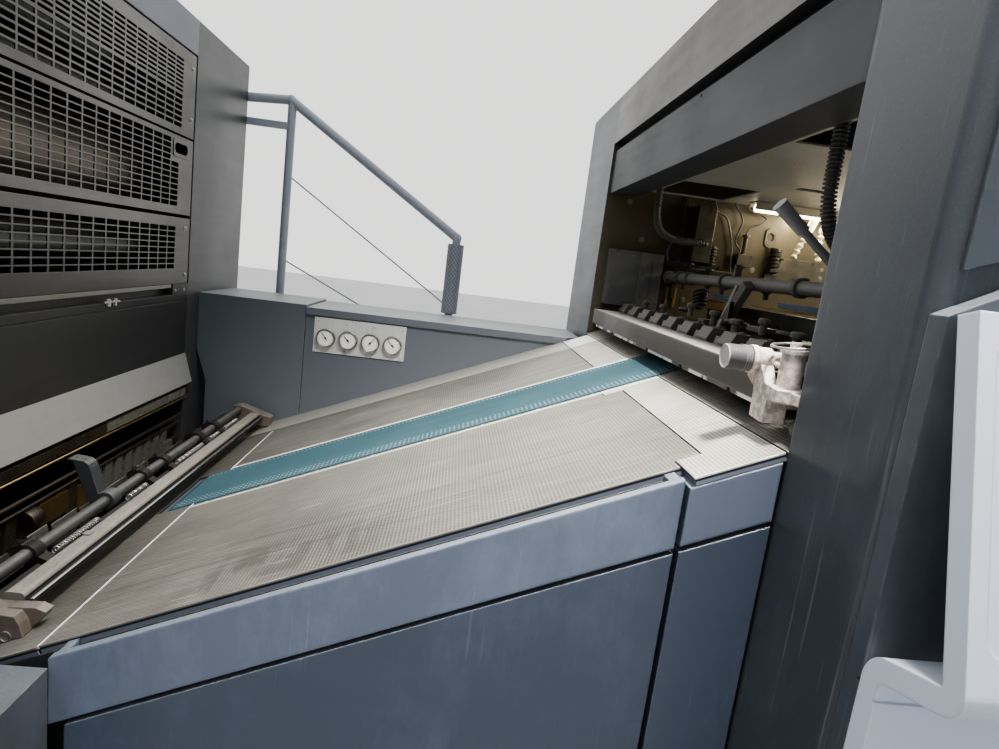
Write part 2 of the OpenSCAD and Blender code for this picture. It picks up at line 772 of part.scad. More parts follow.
module unit_apron() {
    back_x = unit_x - front_t - seat;
    color("#3b3d3f") union() {
        block([unit_x - front_t, -unit_half + seat, apron_low_z], [unit_x, unit_half - seat, apron_z]);
        block([unit_x - front_t, -unit_half + seat, apron_z - eps],
            [unit_x - 4, unit_half - seat, apron_z + 3]);
        block([unit_x - front_t, -unit_half + seat, apron_z + 3 - eps],
            [unit_x, unit_half - seat, apron_z + 21]);
        block([back_x - 20, -unit_half + seat, apron_low_z], [back_x, unit_half - seat, ledge_top]);
        block([back_x - eps, -unit_half + seat, apron_low_z],
            [unit_x - front_t + eps, unit_half - seat, apron_z]);
        for (y = [-1, 1]) {
            y0 = y > 0 ? ledge_half + 12 : -unit_half + seat;
            block([back_x - eps, y0, apron_z + 20],
                [unit_x, y0 + unit_half - seat - ledge_half - 12, ledge_top]);
        }
    }
}

module lead_plate() {
    color("#9a9c9c") upright(-unit_half + seat, unit_half - seat)
        polygon([[unit_x, apron_low_z - 1], [unit_x - 12, apron_low_z - 1],
            [unit_x + lead_out - 12, lead_low_z], [unit_x + lead_out, lead_low_z]]);
}

module bay_rollers() {
    color("#5c5f60") {
        rod_y(unit_x - 150, guard_z3 - 80, form_roller_d, -unit_half, unit_half);
        rod_y(unit_x - 130, guard_z2 + 52, rider_d, -unit_half, unit_half);
        rod_y(unit_x - 120, guard_z0 + 96, form_roller_d + 18, -unit_half, unit_half);
        rod_y(unit_x - 235, guard_z2 + 88, rider_d + 8, -unit_half, unit_half);
    }
}

module plate_cylinder() {
    z = (guard_z1 + guard_z2) / 2 - 18;
    color("#6f6a62") union() {
        rod_y(unit_x - 80 - cylinder_d / 2, z, cylinder_d, -unit_half + 6, unit_half - 6);
        rod_y(unit_x - 80 - cylinder_d / 2, z, cylinder_d / 3, -unit_half, unit_half);
    }
}

module infeed_bars() {
    x = unit_x - 22;
    color("#1e2022") {
        block([x, -unit_half, lead_low_z - 38], [unit_x + lead_out - 8, unit_half, lead_low_z - 14]);
        rod_y(unit_x - 30 - drum_d / 2, lead_low_z + 8, drum_d, -unit_half, unit_half);
        union() {
            block([x - 40, -unit_half, pad_z - 140], [x + 6, unit_half, pad_z - 62]);
            for (i = [-9:9]) upright(i * pad_pitch - 17, i * pad_pitch + 17)
                polygon([[x, pad_z - 96], [x + 12, pad_z - 96], [x + 22, pad_z], [x + 16, pad_z],
                    [x + 4, pad_z - 64]]);
        }
    }
}

module front_lay_shaft() {
    x1 = smoother_x - smoother_w / 2 - seat;
    color("#8f9294") union() {
        rod_y(lay_shaft_x, lay_shaft_z, lay_shaft_d, -casting_near + seat, casting_far - seat);
        for (y = [-440, -55, 47, 259, 372]) {
            rod_y(lay_shaft_x, lay_shaft_z, lay_shaft_d + 12, y, y + 22);
            upright(y, y + 32) translate([lay_shaft_x, lay_shaft_z])
                polygon([[-34, -4], [-6, -8], [2, 10], [-8, 18], [-26, 10]]);
            upright(y + 4, y + 28) polygon([[lay_shaft_x, lay_shaft_z - 9], [x1, lay_shaft_z - 22],
                [x1, lay_shaft_z - 10], [lay_shaft_x, lay_shaft_z + 3]]);
        }
    }
}

module smoother_bar() {
    x1 = smoother_x + smoother_w / 2;
    color("#c2bfb6") {
        upright(-casting_near + seat, casting_far - seat) translate([smoother_x, smoother_z - 10.5])
            rounded(smoother_w, 21, 9);
        block([x1 + seat, -casting_near + seat, smoother_z - 17],
            [x1 + 11, casting_far - seat, smoother_z - 9]);
    }
}

module bar_castings() {
    near = -casting_near;
    far = casting_far;
    low = top_z(-598) + 2;
    color("#8a857c") {
        union() {
            upright(near - casting_t, near) polygon([[-720, top_z(-720) + seat], [-606, top_z(-606) + seat],
                [-612, 1004], [-619, 1016], [-664, smoother_z - 12], [-676, lay_shaft_z + 14],
                [-712, lay_shaft_z + 14], [-726, lay_shaft_z - 10]]);
            upright(near - casting_t / 2, near) polygon([[-640, top_z(-640) + 6], [-614, top_z(-614) + 2],
                [-592, 1002], [-586, 1014], [-600, smoother_z - 10], [-640, smoother_z - 12]]);
        }
        difference() {
            union() {
                slope_plate(-706, -634, seat, casting_t / 4, far, far + casting_t);
                upright(far, far + casting_t) polygon([[-700, top_z(-700) + 2], [-652, top_z(-652) + 2],
                    [-636, low], [-598, low], [-594, 1018], [-640, 1034], [-691, 1050], [-714, 1046],
                    [-714, 1004]]);
            }
            rod_y(-668, 1000, 16, far - 1, far + casting_t + 1);
        }
        upright(-170 - handle_t, -170) difference() {
            union() {
                polygon([[-727, 1026], [-703, 1036], [-705, 1041], [-724, 1099], [-728, 1107], [-736, 1113],
                    [-764, 1116], [-770, 1114], [-757, 1109], [-749, 1086]]);
                translate([lay_shaft_x, lay_shaft_z]) circle(r = lay_shaft_d / 2 + 8);
            }
            translate([lay_shaft_x, lay_shaft_z]) circle(r = lay_shaft_d / 2 + seat);
        }
    }
}

// Side wall of the feeder seen from the operator side
module feeder_side(y0, y1) {
    upright(y0, y1) polygon([[feeder_x, 0], [feeder_back, 0], [feeder_back, feeder_h - shoulder_h],
        [feeder_back - shoulder_w, feeder_h], [feeder_x, feeder_h]]);
}

module post_near() {
    color("#474d54") difference() {
        feeder_side(-operator_face, -feed_half);
        translate([feeder_x, -operator_face, 0]) corner_cut(post_r, feeder_h);
    }
}

module post_far() {
    color("#474d54") difference() {
        feeder_side(far_inner, far_outer);
        translate([feeder_x, far_outer, 0]) mirror([0, 1, 0]) corner_cut(post_r, feeder_h);
    }
}

module feeder_beam() {
    x = feeder_x + beam_back;
    color("#3f4449") difference() {
        union() {
            block([x, near_in, beam_z], [x + beam_d, far_in, beam_z + beam_h]);
            block([x + 20, near_in, beam_z + beam_h - eps],
                [x + beam_d, far_in, beam_z + beam_h + cover_gap]);
        }
        rod_x(-57, beam_z + beam_h - 8, 8, x - 1, x + 14);
    }
}

module beam_cover() {
    color("#8e9091") block([feeder_x, near_in, feeder_h - cover_h + seat],
        [feeder_back - shoulder_w, far_in, feeder_h]);
}

module feeder_ceiling() {
    x0 = feeder_x + beam_back + beam_d + seat;
    lamp_y = far_inner - 115;
    lamp_z = ceiling_z - lamp_d / 2 - 6;
    color("#8b8a83") union() {
        difference() {
            block([x0, near_in, ceiling_z], [feeder_back - 220, far_in, ceiling_z + ceiling_t]);
            block([570, 400, ceiling_z - 1], [800, far_in - 24, ceiling_z + ceiling_t + 1]);
            block([570, -470, ceiling_z - 1], [700, -220, ceiling_z + ceiling_t + 1]);
            block([840, 250, ceiling_z - 1], [930, 285, ceiling_z + ceiling_t + 1]);
        }
        rod_x(lamp_y, lamp_z, lamp_d, 960, 1400);
        for (x = [956, 1392]) block([x, lamp_y - lamp_d / 2 - 2, lamp_z - lamp_d / 2 - 2],
            [x + 12, lamp_y + lamp_d / 2 + 2, ceiling_z + eps]);
    }
}

module front_bar() {
    mid = (bar_far - bar_near) / 2;
    color("#8b857a") union() {
        block([bar_x, -bar_near, bar_z], [bar_x + bar_d, bar_far, bar_top]);
        block([bar_x + 18, bar_far - eps, bar_z + 8], [bar_x + bar_d - 18, far_in, bar_top - 14]);
        for (i = [0:tongue_n - 1]) {
            y = 10 + (i - (tongue_n - 1) / 2) * tongue_pitch;
            block([bar_x + 2, y - tongue_pitch / 2 + 6, bar_z - 7], [bar_x + bar_d - 2,
                y + tongue_pitch / 2 - 7, bar_z + eps]);
        }
    }
}

module knob_casting() {
    n = -bar_near;
    y = n - seat;
    front = bar_x - seat;
    pin = [bar_x + 10, y - 54];
    color("#a5a097") union() {
        rod_x(knob_y, knob_z, spindle_d, knob_base_x - knob_l + 9, knob_base_x + 1);
        rod_x(knob_y, knob_z, knob_d + 4, knob_base_x + seat, knob_base_x + 9);
        rod_x(knob_y, knob_z, knob_d, knob_base_x + 9 - eps, front);
        rod_x(knob_y, knob_z, knob_d - 9, front - eps, bar_x + 18);
        translate([front - 18, 0, 0]) rotate([90, 0, 90]) linear_extrude(18) polygon([[n + 14, knob_z - 12],
            [n + 3, knob_z + 6], [n - 25, knob_z - 6], [n - 43, bar_z + 34], [pin[1] - 26, bar_z + 31],
            [pin[1] - 26, bar_z + 15], [n - 55, bar_z + 15], [n - 55, bar_z - 20], [n - 15, bar_z - 18],
            [n - 13, bar_z + 24], [n + 14, bar_z + 36]]);
        block([front - eps, n - 55, bar_z - 20], [bar_x + 14, n - 15, bar_z + 28]);
        rod_z(pin[0], pin[1], 56, bar_z + 13, bar_z + 31);
        rod_z(pin[0], pin[1], 32, bar_z + 31 - eps, knob_z + 20);
        rod_z(pin[0], pin[1], 37, knob_z + 18, knob_z + 25);
        rod_z(pin[0], pin[1], 15, knob_z + 25 - eps, knob_z + 34);
        rod([bar_x + 4, y - 12, knob_z - 3], [bar_x + 9, y - 50, knob_z - 5], 9);
        block([bar_x + 2, near_in, bar_z + 15], [bar_x + 26, pin[1], bar_z + 29]);
    }
}

module knob() {
    color("#9b9a96") difference() {
        rod_x(knob_y, knob_z, knob_d, knob_base_x - knob_l, knob_base_x);
        rod_x(knob_y, knob_z, spindle_d + 0.1, knob_base_x - knob_l + 7, knob_base_x + 1);
    }
}

hold_z = top_z(entry_x) + 4;
module hold_down_blocks() {
    x = entry_x - 60;
    color("#4a4a47") {
        union() {
            for (i = [0:tongue_n]) {
                y = 10 + (i - tongue_n / 2) * tongue_pitch;
                upright(y - hold_w / 2, y + hold_w / 2) polygon([[x, hold_z], [x + 56, hold_z],
                    [x + 60, hold_z + 14], [x + 60, hold_z + 40], [x + 42, hold_z + hold_h], [x + 12,
                    hold_z + hold_h], [x, hold_z + 34]]);
            }
            block([x + 56, near_in, hold_z + 14], [x + 112, far_in, hold_z + 38]);
        }
        rod_y(bar_x + 22, top_z(bar_x + 22) + 17, 26, near_in, -bar_near - 80);
    }
}

module lever_bracket() {
    r = lever_d * 1.4;
    color("#55585a") union() {
        block([lever_x - r, near_in, lever_z - r], [lever_x + r, lever_y - 16, lever_z + r]);
        rod_y(lever_x, lever_z, lever_d, lever_y - 16 - eps, lever_y + 14);
    }
}

module lever() {
    color("#3a3c3f") difference() {
        translate([lever_x, lever_y, lever_z]) rotate([0, -lever_lean, 0]) union() {
            translate([0, -12, 0]) rotate([-90, 0, 0]) cylinder(d = lever_d + 20, h = 24);
            cylinder(d = lever_d, h = lever_l - grip_l + 10);
            translate([0, 0, lever_l - grip_l]) cylinder(d1 = grip_d - 3, d2 = grip_d, h = grip_l);
        }
        rod_y(lever_x, lever_z, lever_d + 0.1, lever_y - 30, lever_y + 30);
    }
}

// A rounded corner between two straight stretches, as points from one tangent point to the other
function corner(a, b, c, r, n = 10) =
    let (u = (a - b) / norm(a - b), v = (c - b) / norm(c - b),
        half = acos(u * v) / 2,
        m = b + (u + v) / norm(u + v) * (r / sin(half)),
        p = b + u * (r / tan(half)) - m,
        side = sign(p[0] * (v[1] - u[1]) - p[1] * (v[0] - u[0])))
    [for (i = [0:n])
        let (w = side * i * (180 - 2 * half) / n)
        m + [p[0] * cos(w) - p[1] * sin(w), p[0] * sin(w) + p[1] * cos(w)]];

// Outline of a bent sheet of one thickness along a centreline
module bent_sheet(path, t) {
    n = len(path) - 1;
    normals = [for (i = [0:n])
        let (d = path[min(n, i + 1)] - path[max(0, i - 1)])
        [-d[1], d[0]] * (t / 2 / norm(d))];
    polygon(concat([for (i = [0:n]) path[i] + normals[i]], [for (i = [n:-1:0]) path[i] - normals[i]]));
}

leg_y = -operator_face - cover_t - seat - console_t / 2;
fold_y = -operator_face - cover_t - console_out - 4;
fold_a = [leg_y, console_fold - 42];
fold_b = [fold_y, console_fold - 14];
screen_top = [leg_y - 11, console_top - console_t / 2];
screen_lean = atan2(screen_top[1] - fold_b[1], screen_top[0] - fold_b[0]);
module console() {
    path = concat([[leg_y, 420]], corner([leg_y, 420], fold_a, fold_b, console_t),
        corner(fold_a, fold_b, screen_top, console_t / 2 + 2), [screen_top]);
    color("#cdd0d3") translate([feeder_x, 0, 0]) difference() {
        rotate([90, 0, 90]) linear_extrude(console_w) bent_sheet(path, console_t);
        translate([console_w / 2, fold_b[0], fold_b[1]]) rotate([screen_lean, 0, 0])
            translate([0, norm(screen_top - fold_b) / 2 + 10, console_t / 2 - 1.5])
                linear_extrude(4) rounded(console_w - 36, norm(screen_top - fold_b) - 70, 18);
        block([-1, leg_y - console_t, console_fold - 75], [console_w + 1, leg_y - console_t / 2 + 2,
            console_fold - 72]);
    }
}

module operator_cover() {
    x = feeder_x;
    color("#3d4248") {
        difference() {
            upright(-operator_face - cover_t, -operator_face) polygon([[x, plinth_h], [x + 900, plinth_h],
                [x + 900, 1680], [x + 150, 1680], [x, console_top - 18]]);
            block([x - 1, -operator_face - cover_t - 1, console_fold - 69],
                [x + 901, -operator_face - cover_t + 4, console_fold - 65]);
        }
        upright(-operator_face - 5, -operator_face) polygon([[x + 20, 1650 + seat], [x + 130, 1690],
            [x + 620, 1690], [x + 620, 2040], [x + 24, 2040]]);
    }
}

// Point of a smooth curve through a list of points, at t from 0 to the last index
function spline(p, t) =
    let (n = len(p) - 1, i = min(n - 1, floor(t)), u = t - i,
        b = p[i], c = p[i + 1], a = i > 0 ? p[i - 1] : 2 * b - c, d = i < n - 1 ? p[i + 2] : 2 * c - b)
    0.5 * (2 * b + (c - a) * u + (2 * a - 5 * b + 4 * c - d) * u * u + (3 * b - a - 3 * c + d) * u * u * u);

// A round hose through a list of points
module hose(p, d, rings = 16, sides = 10) {
    n = len(p) - 1;
    points = [for (i = [0:rings])
        let (t = n * i / rings, c = spline(p, t),
            w = spline(p, min(n, t + 0.02)) - spline(p, max(0, t - 0.02)),
            u = cross(w, [0.15, 1, 0.2]) / norm(cross(w, [0.15, 1, 0.2])),
            v = cross(w, u) / norm(cross(w, u)))
        for (k = [0:sides - 1])
            c + d / 2 * (cos(360 * k / sides) * u + sin(360 * k / sides) * v)];
    skin = [for (i = [0:rings - 1]) for (k = [0:sides - 1])
        [i * sides + k, (i + 1) * sides + k, (i + 1) * sides + (k + 1) % sides,
            i * sides + (k + 1) % sides]];
    caps = [[for (k = [0:sides - 1]) k], [for (k = [sides - 1:-1:0]) rings * sides + k]];
    polyhedron(points, concat(skin, caps));
}

hose_top = ceiling_z - 0.5;
module hoses() {
    color("#6f7375") {
        hose([[563, 600, hose_top], [563, 600, 1850], [568, 600, 1805], [586, 600, 1768], [628, 600, 1749],
            [690, 600, 1747], [731, 604, 1748], [740, 618, 1748], [740, 639.4, 1748]], hose_d, 30);
        hose([[557, -402, hose_top], [557, -402, 1840], [560, -400, 1780], [578, -390, 1730],
            [625, -360, 1700], [700, -320, 1690]], hose_d, 20);
        hose([[852, 690, hose_top], [852, 690, 1890], [872, 690, 1870], [886, 690, 1840], [876, 690, 1800],
            [874, 690, 1770], [893, 690, 1750], [893, 690, 1735.8]], thin_hose_d, 32, 8);
        hose([[908, 690, 1801.6], [908, 690, 1812], [920, 690, 1828], [948, 690, 1842], [966, 690, 1860],
            [940, 690, 1874], [904, 690, 1880], [896, 690, 1890], [896, 690, hose_top]], thin_hose_d, 36, 8);
        hose([[1108, 650, hose_top], [1108, 650, 1870], [1092, 650, 1820], [1076, 650, 1780],
            [1064, 650, 1746]], blow_hose_d, 14);
        hose([[1151, 650, hose_top], [1151, 650, 1870], [1143, 650, 1820], [1143, 650, 1780],
            [1148, 650, 1746]], blow_hose_d, 14);
    }
}

module wall_fittings() {
    y = far_in;
    top = ceiling_z;
    box_x = feeder_x + 33;
    box_z = bar_top + 19;
    color("#7a7768") {
        union() {
            block([box_x, y - 25, box_z], [box_x + box_w, y, box_z + box_h]);
            block([box_x + box_w * 0.59, y - 31, box_z], [box_x + box_w * 0.77, y - 24, box_z + box_h]);
        }
        block([684.5, y - 15, top - 340], [699.5, y, top - seat]);
        block([715, far_inner - 75, top - 210], [775, y, top - 30]);
        union() {
            rod_z(802, y - 16, 26, top - 220, top - 150);
            for (z = [top - 216, top - 162]) block([794, y - 18, z], [810, y, z + 8]);
        }
        union() {
            block([885, y - 40, top - 205], [935, y, top - 165]);
            rod_z(908, y - 24, 16, top - 165 - eps, top - 100);
            rod_z(908, y - 24, 26, top - 108, top - 99);
        }
        union() {
            rod_z(1020, y - 24, 28, top - 200 - eps, top - 135);
            rod_z(1020, y - 24, 38, top - 138, top - 130);
            block([1003, y - 40, top - 210], [1037, y, top - 200]);
        }
        upright(y - 14, y) polygon([[1000, top - 250], [1250, top - 250], [1250, top - 158], [1060, top - 158],
            [1040, top - 188], [1040, top - 216], [1000, top - 216]]);
        translate([1000, y, top - 97]) rotate([90, 0, 0]) linear_extrude(6) difference() {
            rounded(36, 66, 17);
            translate([0, 3]) circle(r = 13);
        }
        union() {
            rod_x(y - 24, top - 232, 16, 655, 770);
            rod_x(y - 24, top - 232, 8, 770 - eps, 880);
            for (x = [662, 752, 868]) block([x, y - 24, top - 235], [x + 8, y, top - 229]);
        }
    }
}

module suction_head() {
    x0 = feeder_x + 640;
    x1 = x0 + head_l;
    z = ceiling_z - 200;
    color("#33363a") union() {
        upright(-head_w / 2, head_w / 2) polygon([[x0, z], [x1, z], [x1, z + 56], [x1 - 30, z + 80],
            [x0 + 30, z + 80], [x0, z + 56]]);
        block([x0 + 40, -head_w / 2 + 60, z - 90], [x1 - 70, head_w / 2 - 60, z + eps]);
        block([x0 + head_l / 2 - 60, -60, z + 80 - eps], [x0 + head_l / 2 + 60, 60, ceiling_z - seat]);
        for (y = [-head_w / 2 + 30, head_w / 2 - 30], x = [x0 + 30, x1 - 30]) {
            rod_z(x, y, 26, z - 130, z + eps);
            rod_z(x, y, 44, z - 142, z - 128);
        }
    }
}

module pile_table() {
    color("#6b6255") union() {
        block([entry_x + 40, -feed_half + 30, pile_z - pile_t], [feeder_back - 80, far_inner - 30, pile_z]);
        block([entry_x + 120, -feed_half + 120, 0],
            [feeder_back - 160, far_inner - 120, pile_z - pile_t + eps]);
        for (x = [entry_x + 160, feeder_back - 240])
            block([x, near_in, pile_z - pile_t + 4], [x + 70, far_in, pile_z - 6]);
    }
}

table_base();
feed_board();
end_board();
entry_plate();
lay_plate();
suction_belt();
shafts();
tray_cover();
lower_panel();
step_cover();
drive_wall();
gauge_panel();
handrail();
unit_core();
unit_side_operator();
unit_side_drive();
unit_fascia();
fixed_guards();
middle_guard();
ledge();
unit_apron();
lead_plate();
bay_rollers();
plate_cylinder();
infeed_bars();
front_lay_shaft();
smoother_bar();
bar_castings();
post_near();
post_far();
feeder_beam();
beam_cover();
feeder_ceiling();
front_bar();
knob_casting();
knob();
hold_down_blocks();
lever_bracket();
lever();
console();
operator_cover();
hoses();
wall_fittings();
suction_head();
pile_table();
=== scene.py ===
import math

import bmesh
import bpy
from mathutils import Matrix, Vector


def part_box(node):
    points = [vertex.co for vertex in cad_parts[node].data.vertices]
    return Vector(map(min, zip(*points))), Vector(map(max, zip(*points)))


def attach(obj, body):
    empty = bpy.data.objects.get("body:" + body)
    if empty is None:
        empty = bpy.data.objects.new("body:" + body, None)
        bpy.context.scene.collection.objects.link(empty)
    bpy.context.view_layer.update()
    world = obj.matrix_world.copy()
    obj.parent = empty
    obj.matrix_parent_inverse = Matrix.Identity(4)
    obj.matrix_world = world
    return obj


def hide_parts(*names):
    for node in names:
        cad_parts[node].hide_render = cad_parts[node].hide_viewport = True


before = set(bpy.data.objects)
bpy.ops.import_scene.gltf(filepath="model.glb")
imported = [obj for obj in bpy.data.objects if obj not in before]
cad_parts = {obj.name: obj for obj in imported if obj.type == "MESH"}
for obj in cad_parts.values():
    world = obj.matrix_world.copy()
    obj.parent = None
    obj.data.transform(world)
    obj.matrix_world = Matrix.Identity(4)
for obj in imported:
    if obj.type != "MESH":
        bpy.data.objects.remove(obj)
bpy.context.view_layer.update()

bl_info = {
    "name": "Press Infeed Dresser",
    "version": (1, 0, 0),
    "blender": (4, 5, 0),
    "location": "3D View > Sidebar > Press",
    "description": "Finishes, fittings and lighting for the infeed section of an offset press",
    "category": "Object",
}

MM = 0.001
STAFF = "press"

# The table's slope, and places that finishes and fittings share, in metres
TABLE_ANGLE = math.radians(22.3)
TABLE_Z = 1.233
JOINT_X = -0.556
STRIP_Y = 0.520
BELT_LOW_Y, BELT_HIGH_Y = (corner[1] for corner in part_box("suction_belt"))
WALL_Y = -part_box("lower_panel")[0][1] - 0.002
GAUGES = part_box("gauge_panel")
FEEDER_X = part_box("post_near")[0][0]
LEVER_PIVOT = Vector((0.620, -0.450, 1.6216))
KNOB_Y, KNOB_Z = -0.580, 1.512


# Shader helpers

class Nodes:
    """Adds and links nodes in one node tree."""

    def __init__(self, tree):
        self.tree = tree

    def feed(self, socket, value):
        if isinstance(value, bpy.types.NodeSocket):
            self.tree.links.new(value, socket)
        else:
            socket.default_value = value

    def add(self, kind, inputs=None, **props):
        node = self.tree.nodes.new(kind)
        for key, value in props.items():
            setattr(node, key, value)
        for key, value in (inputs or {}).items():
            self.feed(node.inputs[key], value)
        return node


class Shades(Nodes):
    """The shader nodes that the finishes are made of."""

    def maths(self, operation, a, b=0.0, clamp=False):
        return self.add("ShaderNodeMath", {0: a, 1: b}, operation=operation, use_clamp=clamp).outputs[0]

    def times(self, a, *others, clamp=False):
        for other in others:
            a = self.maths("MULTIPLY", a, other, clamp)
        return a

    def plus(self, a, b, clamp=False):
        return self.maths("ADD", a, b, clamp)

    def minus(self, a, b, clamp=False):
        return self.maths("SUBTRACT", a, b, clamp)

    def noise(self, vector, scale, detail=4.0, rough=0.55):
        return self.add("ShaderNodeTexNoise", {"Vector": vector, "Scale": scale, "Detail": detail,
                                               "Roughness": rough}).outputs["Fac"]

    def streaks(self, vector, size, detail=4.0, rough=0.55):
        """Noise that is drawn out along the axes with the small sizes."""
        wide = self.add("ShaderNodeVectorMath", {0: vector, 1: size}, operation="MULTIPLY").outputs[0]
        return self.noise(wide, 1.0, detail, rough)

    def span(self, value, low, high, out_low=0.0, out_high=1.0):
        return self.add("ShaderNodeMapRange", {0: value, 1: low, 2: high, 3: out_low, 4: out_high},
                        clamp=True).outputs[0]

    def mix(self, factor, a, b):
        return self.add("ShaderNodeMix", {0: factor, 6: a, 7: b}, data_type="RGBA").outputs[2]

    def axes(self, vector):
        return self.add("ShaderNodeSeparateXYZ", {0: vector}).outputs

    def within(self, value, *stretches):
        """1 inside any of the (low, high) stretches, 0 outside, with soft ends."""
        soft = 0.0006
        total = None
        for low, high in stretches:
            rise = self.span(value, low - soft, low + soft)
            one = self.minus(rise, self.span(value, high - soft, high + soft), clamp=True)
            total = one if total is None else self.plus(total, one, clamp=True)
        return total

    def group(self, tree, **inputs):
        return self.add("ShaderNodeGroup", inputs, node_tree=tree).outputs


def shared(name, takes, gives):
    """Turns a function into one that builds its node group once, for several materials.

    takes = inputs with their defaults (none for a vector); the function gives back the outputs' sockets.
    """
    def wrap(build):
        def group():
            tree = bpy.data.node_groups.get(name)
            if tree:
                return tree
            tree = bpy.data.node_groups.new(name, "ShaderNodeTree")
            for label, default in takes.items():
                kind = "Vector" if default is None else "Color" if isinstance(default, tuple) else "Float"
                socket = tree.interface.new_socket(label, in_out="INPUT", socket_type="NodeSocket" + kind)
                if default is not None:
                    socket.default_value = default
            for label, kind in gives.items():
                tree.interface.new_socket(label, in_out="OUTPUT", socket_type="NodeSocket" + kind)
            s = Shades(tree)
            s.add("NodeGroupOutput", dict(zip(gives, build(s, s.add("NodeGroupInput").outputs))))
            return tree
        return group
    return wrap


@shared("Settled dust", {"Vector": None, "Colour": (0.5, 0.5, 0.5, 1), "Dust": (0.55, 0.53, 0.5, 1), "Amount": 0.5},
        {"Colour": "Color", "Fac": "Float"})
def dust_group(s, given):
    """Powder that settles on faces that look upward, broken up by noise."""
    facing = s.span(s.axes(s.add("ShaderNodeNewGeometry").outputs["Normal"])[2], 0.35, 0.95)
    cloud = s.span(s.noise(given["Vector"], 9.0, 6.0), 0.28, 0.72, 0.36, 0.72)
    speck = s.span(s.noise(given["Vector"], 140.0, 3.0), 0.45, 0.62, 0.65, 1.0)
    fac = s.times(facing, s.times(cloud, speck), given["Amount"], clamp=True)
    return s.mix(fac, given["Colour"], given["Dust"]), fac


@shared("Worn edges", {"Vector": None, "Radius": 0.003, "Amount": 0.6}, {"Fac": "Float"})
def edge_group(s, given):
    """Where an edge is: the angle between the true and the rounded normal, broken up by noise."""
    sharp = s.add("ShaderNodeNewGeometry").outputs["Normal"]
    soft = s.add("ShaderNodeBevel", {"Radius": given["Radius"]}, samples=4).outputs[0]
    same = s.add("ShaderNodeVectorMath", {0: sharp, 1: soft}, operation="DOT_PRODUCT").outputs["Value"]
    broken = s.span(s.noise(given["Vector"], 60.0, 5.0), 0.38, 0.6)
    return s.times(s.span(same, 0.985, 0.86), s.times(broken, given["Amount"]), clamp=True),


@shared("Smudges", {"Vector": None}, {"Fac": "Float"})
def smudge_group(s, given):
    """Cloudy hand marks and wiped streaks, as a factor."""
    wide = s.span(s.noise(given["Vector"], 2.6, 5.0), 0.36, 0.66)
    streak = s.span(s.streaks(given["Vector"], (3.0, 3.0, 34.0), 5.0), 0.35, 0.68)
    fine = s.span(s.noise(given["Vector"], 46.0, 4.0), 0.3, 0.7, 0.5, 1.0)
    return s.plus(s.times(wide, 0.6), s.times(s.times(streak, fine), 0.4), clamp=True),


def rgb(colour):
    return tuple(colour[:3]) + (1.0,)


def shade(colour, factor):
    return tuple(min(1.0, c * factor) for c in colour[:3]) + (1.0,)


def new_material(name):
    """An empty material, its nodes, its shader and the object's coordinates."""
    mat = bpy.data.materials.new(name)
    mat.use_nodes = True
    mat.node_tree.nodes.clear()
    s = Shades(mat.node_tree)
    surface = s.add("ShaderNodeBsdfPrincipled")
    s.add("ShaderNodeOutputMaterial", {0: surface.outputs[0]})
    return mat, s, surface, s.add("ShaderNodeTexCoord").outputs["Object"]


def finish_surface(s, surface, colour, roughness, height=None, strength=0.1, distance=0.0005, radius=0.0):
    """Links colour, roughness and relief to the Principled shader; radius softens edges."""
    s.feed(surface.inputs["Base Color"], colour)
    s.feed(surface.inputs["Roughness"], roughness)
    normal = s.add("ShaderNodeBevel", {"Radius": radius}, samples=4).outputs[0] if radius else None
    if height is not None:
        bump = s.add("ShaderNodeBump", {"Height": height, "Strength": strength, "Distance": distance})
        if normal:
            s.feed(bump.inputs["Normal"], normal)
        normal = bump.outputs[0]
    if normal:
        s.feed(surface.inputs["Normal"], normal)


def weathered(s, place, tone, bare, dust, dust_colour, edge, radius):
    """Settles dust on a tone and wears its edges to the bare colour; gives the tone and where the dust lies."""
    dusty = s.group(dust_group(), Vector=place, Colour=tone, Dust=rgb(dust_colour), Amount=dust)
    worn = s.group(edge_group(), Vector=place, Radius=radius, Amount=edge)["Fac"]
    return s.mix(worn, dusty["Colour"], bare), dusty["Fac"]


